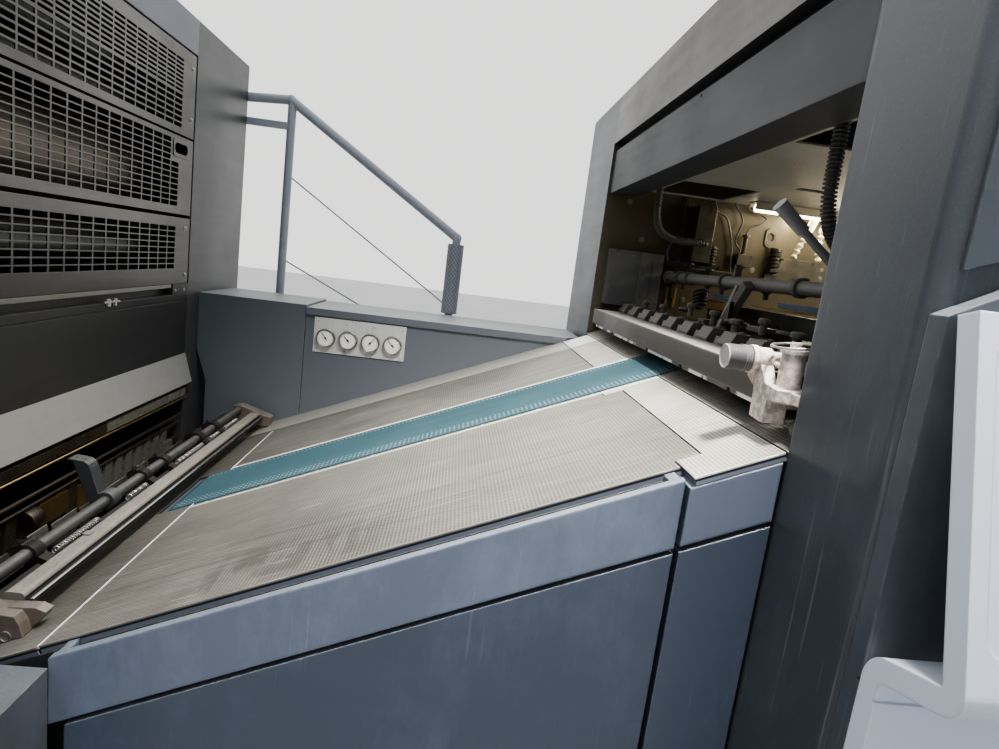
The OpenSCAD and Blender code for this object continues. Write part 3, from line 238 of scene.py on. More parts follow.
def painted(name, colour, rough=0.5, dust=0.35, edge=0.5, grain=520.0, relief=0.12, coat=0.0, metallic=0.0,
            dust_colour=(0.50, 0.49, 0.47), radius=0.003, smudge=0.10, inner=None, speck=0.0):
    """Powder-coated sheet: fine grain, smudges, settled dust and pale worn edges.

    inner = (x past which, y below which another colour shows, that colour); speck adds fine marks and smears.
    """
    mat, s, surface, place = new_material(name)
    marks = s.group(smudge_group(), Vector=place)["Fac"]
    base = s.mix(s.times(marks, smudge), rgb(colour), shade(colour, 1.7))
    if speck:
        spots = s.span(s.noise(place, 330.0, 5.0, 0.7), 0.56, 0.70)
        base = s.mix(s.times(spots, speck), base, shade(colour, 2.6))
        smear = s.span(s.streaks(place, (5.0, 5.0, 2.5), 9.0, 0.72), 0.50, 0.74, 0.0, 0.55)
        base = s.mix(smear, base, shade(colour, 2.0))
        fine = s.span(s.streaks(place, (160.0, 160.0, 5.0), 3.0, 0.4), 0.64, 0.70, 0.0, min(0.5, 2.0 * speck))
        hazy = s.span(s.noise(place, 6.0, 4.0), 0.45, 0.6)
        base = s.mix(s.times(fine, hazy), base, shade(colour, 3.2))
    if inner:
        x, y, wall = inner
        places = s.axes(place)
        cloud = s.span(s.noise(place, 5.0, 5.0), 0.35, 0.7, 0.0, 0.6)
        room = s.times(s.span(places[0], x, x + 0.001), s.span(places[1], y + 0.002, y + 0.001))
        base = s.mix(room, base, s.mix(cloud, rgb(wall), shade(wall, 0.6)))
    bare = shade([min(1, c + 0.12) for c in colour], 1.5)
    tone, powder = weathered(s, place, base, bare, dust, dust_colour, edge, radius)
    dull = s.plus(s.span(marks, 0.0, 1.0, rough - 0.06, rough + 0.10), s.times(powder, 0.3), clamp=True)
    surface.inputs["Metallic"].default_value = metallic
    surface.inputs["Coat Weight"].default_value = coat
    surface.inputs["Coat Roughness"].default_value = 0.25
    finish_surface(s, surface, tone, dull, s.noise(place, grain, 3.0), relief, 0.0004, radius)
    return mat


def brushed(name, colour, rough=0.32, along=(900.0, 12.0, 12.0), dust=0.3, edge=0.3, metallic=1.0, smudge=0.35,
            dust_colour=(0.48, 0.47, 0.44), radius=0.0015, strength=0.08, past=None, collars=(), foot=None):
    """Brushed or ground metal: fine lines along one direction, hazy smudges and dust.

    past = (axis, place, colour beyond it); collars = stretches along Y of blackened fittings;
    foot = (height where the face starts to darken towards the bottom, height where it is darkest, that colour, height
    below which dashes shine).
    """
    mat, s, surface, place = new_material(name)
    lines = s.streaks(place, along, 4.0, 0.6)
    marks = s.group(smudge_group(), Vector=place)["Fac"]
    tone = s.mix(s.span(lines, 0.3, 0.7, 0.0, 0.5), rgb(colour), shade(colour, 0.72))
    tone = s.mix(s.times(marks, smudge), tone, shade(colour, 0.5))
    tone, powder = weathered(s, place, tone, shade(colour, 1.6), dust, dust_colour, edge, radius)
    places = s.axes(place)
    if past:
        axis, limit, beyond = past
        tone = s.mix(s.span(places[axis], limit - 0.0001, limit + 0.0001), tone, rgb(beyond))
    if foot:
        darken_from, full, low_tone, shine = foot
        # Darker towards the bottom of the face
        tone = s.mix(s.span(places[2], darken_from, full), tone, rgb(low_tone))
        dashes = s.span(s.streaks(place, (0.0, 6.0, 0.0), 1.0), 0.48, 0.50)
        tone = s.mix(s.times(dashes, s.span(places[2], shine, shine - 0.0004)), tone, (0.78, 0.76, 0.72, 1))
    for stretch in collars:
        tone = s.mix(s.within(places[1], stretch), tone, (0.045, 0.042, 0.038, 1))
    gloss = s.plus(s.span(marks, 0.0, 1.0, rough - 0.05, rough + 0.16), s.times(powder, 0.35), clamp=True)
    s.feed(surface.inputs["Metallic"], s.minus(metallic, s.times(powder, 0.8 * metallic), clamp=True))
    finish_surface(s, surface, tone, gloss, lines, strength, 0.0003, radius)
    return mat


def cast_iron(name, colour, rough=0.55, dust=0.6, metallic=0.4, radius=0.003, edge=0.4, stripe=None,
              dust_colour=(0.52, 0.5, 0.47), crust=0.0, zone=None):
    """Machined casting: pitted skin, oily patches, powder on top.

    stripe = (low y, high y, its colour); zone = (x and z it ends at, a lighter colour there, painted light); crust =
    flaking powder.
    """
    mat, s, surface, place = new_material(name)
    pits = s.noise(place, 260.0, 6.0, 0.7)
    cloud = s.span(s.noise(place, 22.0, 5.0), 0.35, 0.68)
    tone = s.mix(cloud, rgb(colour), shade(colour, 0.6))
    places = s.axes(place)
    if crust:
        flakes = s.span(s.noise(place, 75.0, 8.0, 0.75), 0.46, 0.56)
        tone = s.mix(s.times(flakes, crust), tone, shade(colour, 1.7))
        pits = s.plus(pits, flakes)
    if stripe:
        tone = s.mix(s.within(places[1], stripe[:2]), tone, rgb(stripe[2]))
    # A lighter colour in front of x and below z: painted light
    if zone:
        x, z, other = zone
        tone = s.mix(s.times(s.span(places[0], x, x - 0.0002), s.span(places[2], z, z - 0.0002)), tone, rgb(other))
    tone, powder = weathered(s, place, tone, shade(colour, 1.8), dust, dust_colour, edge, radius)
    surface.inputs["Metallic"].default_value = metallic
    gloss = s.plus(s.span(cloud, 0, 1, rough, rough - 0.15), s.times(powder, 0.3), clamp=True)
    finish_surface(s, surface, tone, gloss, pits, 0.25, 0.0006, radius)
    return mat


def ribbed(name, colour):
    """Perforated sheet seen as fine dark lines at an even pitch along X, with rows of holes across."""
    mat, s, surface, place = new_material(name)
    places = s.axes(place)
    u = s.maths("FRACT", s.maths("DIVIDE", places[0], 0.0065))
    v = s.maths("FRACT", s.maths("DIVIDE", places[1], 0.0130))
    holes = s.times(s.span(u, 0.45, 0.55), s.span(v, 0.02, 0.20, 0.35, 1.0))
    patch = s.span(s.noise(place, 4.0, 5.0), 0.3, 0.7, 0.4, 1.0)
    surface.inputs["Metallic"].default_value = 0.2
    finish_surface(s, surface, s.mix(s.times(holes, patch), rgb(colour), shade(colour, 0.28)), 0.5,
                   s.noise(place, 200.0, 3.0), 0.05)
    return mat


def slope_place(s, place):
    """Object coordinates turned into the table's own plane, and how far along, across and up they are."""
    plane = s.add("ShaderNodeMapping", {"Vector": place, "Rotation": (0.0, TABLE_ANGLE, 0.0)},
                  vector_type="POINT").outputs[0]
    return (plane, *s.axes(plane))


def dimpled_board(name, colour, sizes, dust_amount=0.55, dust_colour=(0.40, 0.385, 0.35, 1), rim=-0.6315):
    """Table sheet: dimples with painted shade in them, ground shine, powder, rub marks, painted sheen and painted
    light.
    """
    mat, s, surface, place = new_material(name)
    plane, along, across, up = slope_place(s, place)
    row = s.maths("DIVIDE", along, sizes.dimple_row)
    shift = s.times(s.maths("FLOORED_MODULO", s.maths("FLOOR", row), 2.0), 0.5)
    col = s.plus(s.maths("DIVIDE", across, sizes.dimple_pitch), shift)
    du = s.minus(s.maths("FRACT", row), 0.5)
    dv = s.minus(s.maths("FRACT", col), 0.5)
    dimple = s.span(s.plus(s.times(du, du, 6.5), s.times(dv, dv, 2.2)), 0.25, 1.15)
    relief = s.times(s.minus(1.0, dimple), s.within(across, (rim, STRIP_Y)))
    rub = s.streaks(plane, (2.0, 26.0, 2.0), 6.0, 0.6)
    cloud = s.noise(place, 3.2, 6.0, 0.62)
    blotch = s.span(s.noise(place, 11.0, 6.0, 0.7), 0.5, 0.72)
    tone = s.mix(s.span(rub, 0.3, 0.72, 0.0, 0.55), rgb(colour), shade(colour, 0.74))
    tone = s.mix(s.span(cloud, 0.38, 0.66, 0.0, dust_amount), tone, dust_colour)
    tone = s.mix(s.times(blotch, 0.28), tone, shade(colour, 0.5))
    # Darker towards the dimples' centres: painted shade in the hollows
    tone = s.mix(s.times(relief, 0.60), tone, shade(colour, 0.36))
    # The smooth strip past STRIP_Y is made lighter: a painted sheen
    tone = s.mix(s.span(across, STRIP_Y, STRIP_Y + 0.001), tone, shade(colour, 1.75))

    grooves = s.within(across, *((y - 0.0022, y + 0.0022) for y in (-0.500, -0.445, 0.500, 0.512)))
    tone = s.mix(s.times(grooves, 0.5), tone, shade(colour, 0.4))
    stroke = s.span(s.streaks(plane, (34.0, 9.0, 1.0), 3.0, 0.5), 0.47, 0.53)
    wiped = s.times(s.times(s.span(across, -0.47, -0.52), s.span(across, -0.628, -0.60)),
                    s.times(s.span(along, 0.02, 0.10), s.span(along, 0.40, 0.30)))
    tone = s.mix(s.times(stroke, wiped, 0.6), tone, shade(colour, 0.42))
    haze = s.times(s.span(s.streaks(plane, (9.0, 30.0, 1.0), 7.0, 0.7), 0.45, 0.62),
                   s.times(s.span(across, -0.40, -0.55), s.span(along, 0.30, 0.0)))
    tone = s.mix(s.times(haze, 0.45), tone, dust_colour)
    fine = s.span(s.streaks(plane, (8.0, 260.0, 1.0), 2.0, 0.4), 0.66, 0.72, 0.0, 0.5)
    tone = s.mix(fine, tone, (0.62, 0.60, 0.56, 1))
    worn = s.group(edge_group(), Vector=place, Radius=0.0015, Amount=0.6)["Fac"]
    tone = s.mix(s.times(worn, 0.6), tone, (0.82, 0.8, 0.76, 1))

    # The board's side face under its top edge: a dark line, then a blue-grey band lighter than the shade it sits in,
    # painted light that makes it read as a lit gutter
    lift = s.minus(up, TABLE_Z * math.cos(TABLE_ANGLE))
    tone = s.mix(s.span(lift, -0.0024, -0.0030), tone, (0.030, 0.034, 0.042, 1))
    tone = s.mix(s.span(lift, -0.0055, -0.0065), tone, (0.25, 0.28, 0.34, 1))
    surface.inputs["Metallic"].default_value = 0.55
    gloss = s.plus(s.span(rub, 0.3, 0.7, 0.30, 0.46), s.span(cloud, 0.4, 0.7, 0.0, 0.14), clamp=True)
    height = s.minus(s.times(s.noise(place, 700.0, 2.0), 0.15), relief)
    finish_surface(s, surface, tone, gloss, height, 0.55, 0.0006, 0.0012)
    return mat


def woven_belt(name, colour):
    """Suction belt: matt weave with rows of dark perforations and pale stitches, and painted light and shade along
    it.
    """
    mat, s, surface, place = new_material(name)
    plane, along, across, _ = slope_place(s, place)
    weave = s.add("ShaderNodeTexWave", {"Vector": plane, "Scale": 190.0, "Distortion": 1.2, "Detail": 2.0},
                  bands_direction="DIAGONAL").outputs[1]
    u = s.minus(s.maths("FRACT", s.maths("DIVIDE", along, 0.0105)), 0.5)
    v = s.minus(s.maths("FRACT", s.maths("DIVIDE", s.minus(across, BELT_LOW_Y), 0.0125)), 0.5)
    dot = s.span(s.plus(s.times(u, u), s.times(v, v, 1.4)), 0.045, 0.02)
    centre = (BELT_LOW_Y + BELT_HIGH_Y) / 2

    def rows(*places):
        return s.within(across, *((centre + y - width / 2, centre + y + width / 2) for y, width in places))

    holes = rows((-0.046, 0.014), (0.020, 0.008), (0.060, 0.014), (0.086, 0.008))
    stitches = rows((-0.103, 0.013), (-0.084, 0.013), (-0.068, 0.010), (0.104, 0.010))
    cloud = s.noise(place, 5.0, 6.0, 0.65)
    streak = s.streaks(plane, (1.5, 40.0, 1.0))
    # Lighter towards the belt's low end, darker towards its high end: painted light and shade
    body = s.mix(s.span(along, -0.30, 0.35), shade(colour, 1.20), shade(colour, 0.76))
    tone = s.mix(s.span(streak, 0.35, 0.68, 0.0, 0.4), body, shade(colour, 1.25))
    tone = s.mix(s.span(cloud, 0.4, 0.7, 0.0, 0.25), tone, (0.085, 0.155, 0.178, 1))
    tone = s.mix(s.times(dot, holes, 0.65), tone, (0.02, 0.05, 0.06, 1))
    tone = s.mix(s.times(dot, stitches, 0.75), tone, (0.55, 0.68, 0.70, 1))
    surface.inputs["Specular IOR Level"].default_value = 0.18
    finish_surface(s, surface, tone, s.span(cloud, 0.3, 0.7, 0.70, 0.85), s.minus(weave, s.times(dot, 0.8)), 0.2,
                   0.0003)
    return mat


def plain(name, colour, rough, metallic=0.0, scale=220.0, vary=0.18, emission=None, level=0.0):
    """Small parts: one colour broken up by fine noise, with a little relief."""
    mat, s, surface, place = new_material(name)
    patch = s.span(s.noise(place, scale * 0.2, 5.0), 0.3, 0.7)
    surface.inputs["Metallic"].default_value = metallic
    if emission:
        surface.inputs["Emission Color"].default_value = rgb(emission)
        surface.inputs["Emission Strength"].default_value = level
    finish_surface(s, surface, s.mix(s.times(patch, vary), rgb(colour), shade(colour, 0.55)),
                   s.span(patch, 0, 1, rough, rough + 0.1), s.noise(place, scale, 3.0), 0.08, 0.0003)
    return mat


def dress(nodes, mat):
    """Gives CAD nodes a finish, their shape as it is."""
    for node in nodes.split():
        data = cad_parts[node].data
        data.materials.clear()
        data.materials.append(mat)


# Mesh helpers

def piece(name, bm, mat, smooth=False, body=STAFF):
    """Turns a bmesh into a piece that rides on a body."""
    mesh = bpy.data.meshes.new(name)
    bmesh.ops.recalc_face_normals(bm, faces=bm.faces)
    bm.to_mesh(mesh)
    bm.free()
    mesh.materials.append(mat)
    if smooth:
        mesh.shade_smooth()
        mesh.set_sharp_from_angle(angle=math.radians(38))
    obj = bpy.data.objects.new(name, mesh)
    bpy.context.scene.collection.objects.link(obj)
    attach(obj, body)
    return obj


def mm(*points):
    """Points given in millimetres, in metres."""
    return [Vector(p) * MM for p in points]


def skin(bm, rings, closed=True):
    """Faces between rings of vertices, with caps on the first and last."""
    count = len(rings[0])
    for low, high in zip(rings, rings[1:]):
        for i in range(count):
            j = (i + 1) % count
            bm.faces.new((low[i], low[j], high[j], high[i]))
    if closed:
        bm.faces.new(list(reversed(rings[0])))
        bm.faces.new(rings[-1])


def add_lathe(bm, profile, place, axis, segments=32, closed=True):
    """A turned form: profile is a list of (distance along the axis, radius)."""
    move = Matrix.Translation(place) @ Vector((0, 0, 1)).rotation_difference(Vector(axis)).to_matrix().to_4x4()
    angles = [2 * math.pi * i / segments for i in range(segments)]
    skin(bm, [[bm.verts.new(move @ Vector((radius * math.cos(a), radius * math.sin(a), height))) for a in angles]
              for height, radius in profile], closed)


def add_box(bm, low, high, round_off=0.0, turn=None):
    """A block between two corners, with its edges taken off, then turned."""
    verts = bmesh.ops.create_cube(bm, size=1.0)["verts"]
    bmesh.ops.scale(bm, vec=Vector(high) - Vector(low), verts=verts)
    if round_off:
        edges = list({e for v in verts for e in v.link_edges})
        out = bmesh.ops.bevel(bm, geom=edges, offset=round_off, segments=2, affect="EDGES", profile=0.6)
        verts = list({v for f in out["faces"] for v in f.verts} | {v for v in verts if v.is_valid})
    move = Matrix.Translation((Vector(low) + Vector(high)) / 2)
    bmesh.ops.transform(bm, matrix=(turn or Matrix.Identity(4)) @ move, verts=verts)


SLOPE_NORMAL = Vector((-math.sin(TABLE_ANGLE), 0.0, math.cos(TABLE_ANGLE)))
SLOPE_TURN = Matrix.Translation((0, 0, TABLE_Z)) @ Matrix.Rotation(-TABLE_ANGLE, 4, "Y")


def on_slope(x, y, up=0.0):
    """A point on the table top, lifted square to it."""
    return Vector((x, y, TABLE_Z + x * math.tan(TABLE_ANGLE))) + up * SLOPE_NORMAL


def smooth_route(points, count):
    """Points along a smooth curve through the given ones."""
    points = [Vector(p) for p in points]
    last = len(points) - 1
    route = []
    for k in range(count + 1):
        t = last * k / count
        i = min(last - 1, int(t))
        u = t - i
        b, c = points[i], points[i + 1]
        a = points[i - 1] if i else 2 * b - c
        d = points[i + 2] if i < last - 1 else 2 * c - b
        route.append(0.5 * (2 * b + (c - a) * u + (2 * a - 5 * b + 4 * c - d) * u * u
                            + (3 * b - a - 3 * c + d) * u ** 3))
    return route


def add_tube(bm, route, radius, sides=10):
    """A round wire or tube along a route; radius may be a list."""
    rings = []
    side = None
    for i, point in enumerate(route):
        way = (route[min(i + 1, len(route) - 1)] - route[max(i - 1, 0)]).normalized()
        side = (side - way * side.dot(way)) if side else way.orthogonal()
        side.normalize()
        other = way.cross(side)
        r = radius[i] if isinstance(radius, list) else radius
        rings.append([bm.verts.new(point + r * (math.cos(a) * side + math.sin(a) * other))
                      for a in (2 * math.pi * k / sides for k in range(sides))])
    skin(bm, rings)


def add_coil(bm, low, high, radius, wire, turns, sides=6):
    """A coil spring between two points."""
    low, high = Vector(low), Vector(high)
    way = (high - low).normalized()
    side = way.orthogonal().normalized()
    other = way.cross(side)
    steps = int(turns * 14)
    angles = [2 * math.pi * turns * k / steps for k in range(steps + 1)]
    add_tube(bm, [low.lerp(high, k / steps) + radius * (math.cos(a) * side + math.sin(a) * other)
                  for k, a in enumerate(angles)], wire, sides)


def add_plate(bm, outline, y0, y1):
    """A plate between y0 and y1 with an outline in the XZ plane."""
    near, far = ([bm.verts.new((x, y, z)) for x, z in outline] for y in (y0, y1))
    bm.faces.new(near)
    bm.faces.new(list(reversed(far)))
    for i in range(len(outline)):
        j = (i + 1) % len(outline)
        bm.faces.new((near[i], far[i], far[j], near[j]))


# Geometry Nodes helpers

class Grower(Nodes):
    """Adds and links nodes in a geometry node tree with named inputs."""

    def __init__(self, name, inputs):
        super().__init__(bpy.data.node_groups.new(name, "GeometryNodeTree"))
        for label, kind in (("Geometry", "Geometry"), *inputs, ("Finish", "Material")):
            self.tree.interface.new_socket(label, in_out="INPUT", socket_type="NodeSocket" + kind)
        self.tree.interface.new_socket("Geometry", in_out="OUTPUT", socket_type="NodeSocketGeometry")
        self.given = self.add("NodeGroupInput").outputs

    def make(self, kind, inputs=None, **props):
        """Adds a node and gives back its first output."""
        return self.add(kind, inputs, **props).outputs[0]

    def share(self, label, factor):
        return self.make("ShaderNodeMath", {0: self.given[label], 1: factor}, operation="MULTIPLY")

    def rows(self, points, instance, turn):
        """Sets an instance on every point, as real faces in the given finish, and ends the tree."""
        rows = self.make("GeometryNodeInstanceOnPoints", {"Points": points, "Instance": instance, "Rotation": turn})
        real = self.make("GeometryNodeRealizeInstances", {0: rows})
        self.add("NodeGroupOutput", {"Geometry": self.make("GeometryNodeSetMaterial", {
            "Geometry": real, "Material": self.given["Finish"]})})
        return self.tree


def screw_tree():
    """Cap screws with washers on every point of a polyline, turned to face one way."""
    g = Grower("Screw row", (("Radius", "Float"), ("Height", "Float"), ("Turn", "Vector")))
    radius, height = g.given["Radius"], g.given["Height"]
    head = g.make("GeometryNodeMeshCone", {"Vertices": 20, "Radius Top": g.share("Radius", 0.82),
                                           "Radius Bottom": radius, "Depth": height})
    washer = g.make("GeometryNodeMeshCylinder", {"Vertices": 20, "Radius": g.share("Radius", 1.35),
                                                 "Depth": g.share("Height", 0.24)})
    socket = g.make("GeometryNodeMeshCylinder", {"Vertices": 6, "Radius": g.share("Radius", 0.45), "Depth": height})
    raised = g.make("GeometryNodeTransform", {"Geometry": socket,
                                              "Translation": g.make("ShaderNodeCombineXYZ", {2: height})})
    cut = g.make("GeometryNodeMeshBoolean", {"Mesh 1": head, "Mesh 2": raised}, operation="DIFFERENCE")
    both = g.add("GeometryNodeJoinGeometry")
    for part in (washer, cut):
        g.feed(both.inputs[0], part)
    return g.rows(g.given["Geometry"], both.outputs[0], g.make("FunctionNodeEulerToRotation", {0: g.given["Turn"]}))


def rib_tree():
    """Rings set square to a route at an even pitch, as on a corrugated hose or a bellows."""
    g = Grower("Hose ribs", (("Pitch", "Float"), ("Radius", "Float"), ("Rib", "Float")))
    curve = g.make("GeometryNodeMeshToCurve", {"Mesh": g.given["Geometry"]})
    even = g.make("GeometryNodeResampleCurve", {"Curve": curve, "Length": g.given["Pitch"]}, mode="LENGTH")
    ring = g.make("GeometryNodeCurvePrimitiveCircle", {"Resolution": 20, "Radius": g.given["Radius"]})
    round_rib = g.make("GeometryNodeCurvePrimitiveCircle", {"Resolution": 6, "Radius": g.given["Rib"]})
    rib = g.make("GeometryNodeCurveToMesh", {"Curve": ring, "Profile Curve": round_rib})
    tangent = g.make("GeometryNodeInputTangent")
    return g.rows(even, rib, g.make("FunctionNodeAlignRotationToVector", {"Vector": tangent}, axis="Z"))


def add_grown(bm, tree, points, **values):
    """Evaluates a geometry node tree on a polyline and adds what grows there."""
    start = bpy.data.meshes.new("start")
    start.from_pydata([tuple(p) for p in points], [(i, i + 1) for i in range(len(points) - 1)], [])
    carrier = bpy.data.objects.new("carrier", start)
    bpy.context.scene.collection.objects.link(carrier)
    grow = carrier.modifiers.new("grow", "NODES")
    grow.node_group = tree
    for item in tree.interface.items_tree:
        if item.item_type == "SOCKET" and item.in_out == "INPUT" and item.name in values:
            grow[item.identifier] = values[item.name]
    made = bpy.data.meshes.new_from_object(carrier.evaluated_get(bpy.context.evaluated_depsgraph_get()))
    bpy.data.objects.remove(carrier)
    bpy.data.meshes.remove(start)
    bm.from_mesh(made)
    bpy.data.meshes.remove(made)


FACING = {"-y": (math.pi / 2, 0.0, 0.0), "+x": (0.0, math.pi / 2, 0.0), "+z": (0.0, 0.0, 0.0),
          "-x": (0.0, -math.pi / 2, 0.0), "+y": (-math.pi / 2, 0.0, 0.0)}


def add_screws(bm, points, radius, height, facing, finish):
    """Adds cap screws at points, all facing one way."""
    add_grown(bm, bpy.data.node_groups.get("Screw row") or screw_tree(), points,
              Radius=radius, Height=height, Turn=FACING[facing], Finish=finish)


def add_ribs(bm, route, pitch, radius, rib, finish):
    """Adds rings along a route."""
    add_grown(bm, bpy.data.node_groups.get("Hose ribs") or rib_tree(), route,
              Pitch=pitch, Radius=radius, Rib=rib, Finish=finish)


def screw_profile(radius, height):
    """Button head with a socket."""
    return [(0.0, radius), (height * 0.45, radius), (height * 0.9, radius * 0.72), (height, radius * 0.5),
            (height * 0.45, radius * 0.46), (height * 0.45, radius * 0.05)]


# Properties

class PressSizes(bpy.types.PropertyGroup):
    dimple_row: bpy.props.FloatProperty(name="Dimple rows", default=0.00595, unit="LENGTH", precision=5,
                                        description="Pitch of the dimple rows along the table")
    dimple_pitch: bpy.props.FloatProperty(name="Dimple pitch", default=0.010, unit="LENGTH", precision=4,
                                          description="Pitch of the dimples across the table")
    screw: bpy.props.FloatProperty(name="Screw head", default=0.004, unit="LENGTH", precision=4,
                                   description="Radius of the small screw heads")


class PressColours(bpy.types.PropertyGroup):
    housing: bpy.props.FloatVectorProperty(name="Housing", subtype="COLOR", size=3, default=(0.060, 0.068, 0.080),
                                           description="Dark slate paint of the closed covers")
    tray: bpy.props.FloatVectorProperty(name="Tray", subtype="COLOR", size=3, default=(0.120, 0.143, 0.192),
                                        description="Blue-grey paint of the tray covers")
    panel: bpy.props.FloatVectorProperty(name="Panel", subtype="COLOR", size=3, default=(0.054, 0.067, 0.097),
                                         description="Dark blue-grey paint of the lower panels")
    board: bpy.props.FloatVectorProperty(name="Board", subtype="COLOR", size=3, default=(0.29, 0.278, 0.250),
                                         description="Warm grey of the table boards")
    belt: bpy.props.FloatVectorProperty(name="Belt", subtype="COLOR", size=3, default=(0.038, 0.084, 0.104),
                                        description="Teal of the suction belt")


# Operators

class PRESS_OT_stage(bpy.types.Operator):
    """Lays the floor, the lights and the camera"""
    bl_idname = "press.stage"
    bl_label = "Stage"

    def execute(self, context):
        scene = context.scene
        bm = bmesh.new()
        bmesh.ops.create_grid(bm, x_segments=1, y_segments=1, size=30.0)
        mesh = bpy.data.meshes.new("floor")
        bm.to_mesh(mesh)
        bm.free()
        mat, s, surface, place = new_material("Pale floor")
        cloud = s.span(s.noise(place, 0.6, 3.0), 0.3, 0.7)
        finish_surface(s, surface, s.mix(cloud, (0.62, 0.62, 0.61, 1), (0.66, 0.66, 0.65, 1)), 0.7)
        mesh.materials.append(mat)
        floor = bpy.data.objects.new("floor", mesh)
        scene.collection.objects.link(floor)

        scene.view_settings.look = "AgX - Medium High Contrast"
        world = scene.world or bpy.data.worlds.new("World")
        scene.world = world
        world.use_nodes = True
        sky = Shades(world.node_tree)
        way = sky.axes(sky.add("ShaderNodeTexCoord").outputs["Generated"])
        rise = sky.plus(sky.times(way[1], 0.80), sky.times(way[2], 0.45))
        back = world.node_tree.nodes["Background"]
        sky.feed(back.inputs[0], sky.mix(sky.span(rise, -0.35, 0.55), (0.42, 0.46, 0.52, 1), (1.30, 1.30, 1.28, 1)))
        back.inputs[1].default_value = 1.0

        # name, place, aim, size, power, colour, spread
        for lamp in (
                ("overhead", (0.36, -1.0, 3.3), (0.25, -0.30, 1.35), (0.24, 0.24), 24.0, (1.0, 0.97, 0.90), 58.0),
                ("key", (-0.3, 1.6, 4.6), (0.0, 0.1, 1.2), (3.4, 1.6), 8.0, (1.0, 0.99, 0.96)),
                ("window", (-1.8, -4.6, 4.2), (0.2, 0.0, 1.1), (4.0, 3.0), 22.0, (0.86, 0.93, 1.0)),
                ("feeder lamp", (1.18, 0.600, 1.868), (0.75, 0.10, 1.45), (0.40, 0.03), 3.4, (1.0, 0.88, 0.66)),
                ("feeder wall lamp", (1.27, 0.36, 1.862), (1.12, 0.72, 1.62), (0.40, 0.08), 1.4, (1.0, 0.84, 0.55)),
                ("hall", (2.2, -1.5, 4.6), (-0.8, 0.1, 1.3), (2.0, 2.0), 25.0, (1.0, 0.98, 0.95))):
            self.area(scene, *lamp)

        # The photo's camera, solved from its vanishing points
        data = bpy.data.cameras.new("camera")
        data.sensor_width = 36.0
        data.lens = 23.263
        data.clip_start = 0.02
        camera = bpy.data.objects.new("camera", data)
        right, up, back = ((0.99035, -0.05973, 0.12509), (-0.11297, 0.17520, 0.97803),
                           (-0.08034, -0.98272, 0.16676))
        turn = Matrix((right, up, back)).transposed().to_4x4()
        camera.matrix_world = Matrix.Translation((-0.040, -1.482, 1.600)) @ turn
        scene.collection.objects.link(camera)
        scene.camera = camera
        return {"FINISHED"}

    def area(self, scene, name, place, aim, size, power, colour, spread=180.0):
        data = bpy.data.lights.new(name, "AREA")
        data.shape = "RECTANGLE"
        data.size, data.size_y = size
        data.energy = power
        data.spread = math.radians(spread)
        data.color = colour
        light = bpy.data.objects.new(name, data)
        light.location = place
        light.rotation_euler = (Vector(aim) - Vector(place)).to_track_quat("-Z", "Y").to_euler()
        scene.collection.objects.link(light)


class PRESS_OT_housings(bpy.types.Operator):
    """Paints the closed covers, panels, posts and the console"""
    bl_idname = "press.housings"
    bl_label = "Housings"

    def execute(self, context):
        c = context.scene.press_colours
        dress("step_cover operator_cover", painted("Slate paint", shade(c.housing, 1.15), 0.40, 0.25, 0.45,
                                                   dust_colour=(0.36, 0.37, 0.39), speck=0.12))
        dress("unit_side_operator unit_side_drive", painted("Column paint", (0.064, 0.067, 0.067), 0.36, 0.2, 0.55,
                                                            metallic=0.3))
        dress("drive_wall", painted("Wall paint", shade(c.housing, 1.7), 0.42, 0.8, 0.6,
                                    dust_colour=(0.58, 0.58, 0.58)))
        dress("post_near", painted("Post paint", shade(c.housing, 0.85), 0.36, 0.3, 0.5, relief=0.30, speck=0.30))
        dress("post_far", painted("Far post paint", shade(c.housing, 1.2), 0.40, 0.5, 0.5, 380.0, 0.18,
                                  inner=(FEEDER_X + 0.002, 0.715, (0.085, 0.070, 0.040))))
        dress("feeder_beam", painted("Beam paint", shade(c.housing, 0.48), 0.5, 0.12, 0.4, 380.0, 0.18,
                                     dust_colour=(0.3, 0.3, 0.29)))
        dress("unit_fascia", painted("Fascia paint", (0.155, 0.170, 0.205), 0.42, 0.4, 0.7))
        dress("tray_cover", painted("Tray paint", c.tray, 0.34, 0.55, 0.5, 300.0, 0.05, coat=0.15,
                                    dust_colour=(0.30, 0.315, 0.34), radius=0.005, smudge=0.06, speck=0.05))
        dress("lower_panel", painted("Panel paint", c.panel, 0.36, 0.5, 0.8, 300.0, 0.06, coat=0.1, smudge=0.12,
                                     speck=0.10))
        dress("console", painted("Console paint", (0.64, 0.68, 0.78), 0.42, 0.2, 0.35, 600.0, 0.05, smudge=0.03))
        dress("table_base", painted("Base paint", (0.03, 0.032, 0.034), 0.6, 0.35, 0.2))
        dress("unit_core", painted("Core paint", (0.045, 0.048, 0.052), 0.55, 0.2, 0.2))
        dress("handrail", painted("Rail paint", (0.34, 0.365, 0.41), 0.38, 0.5, 0.4, 300.0, 0.05))
        dress("pile_table", painted("Pile paint", (0.10, 0.09, 0.075), 0.6, 0.5, 0.6))
        return {"FINISHED"}


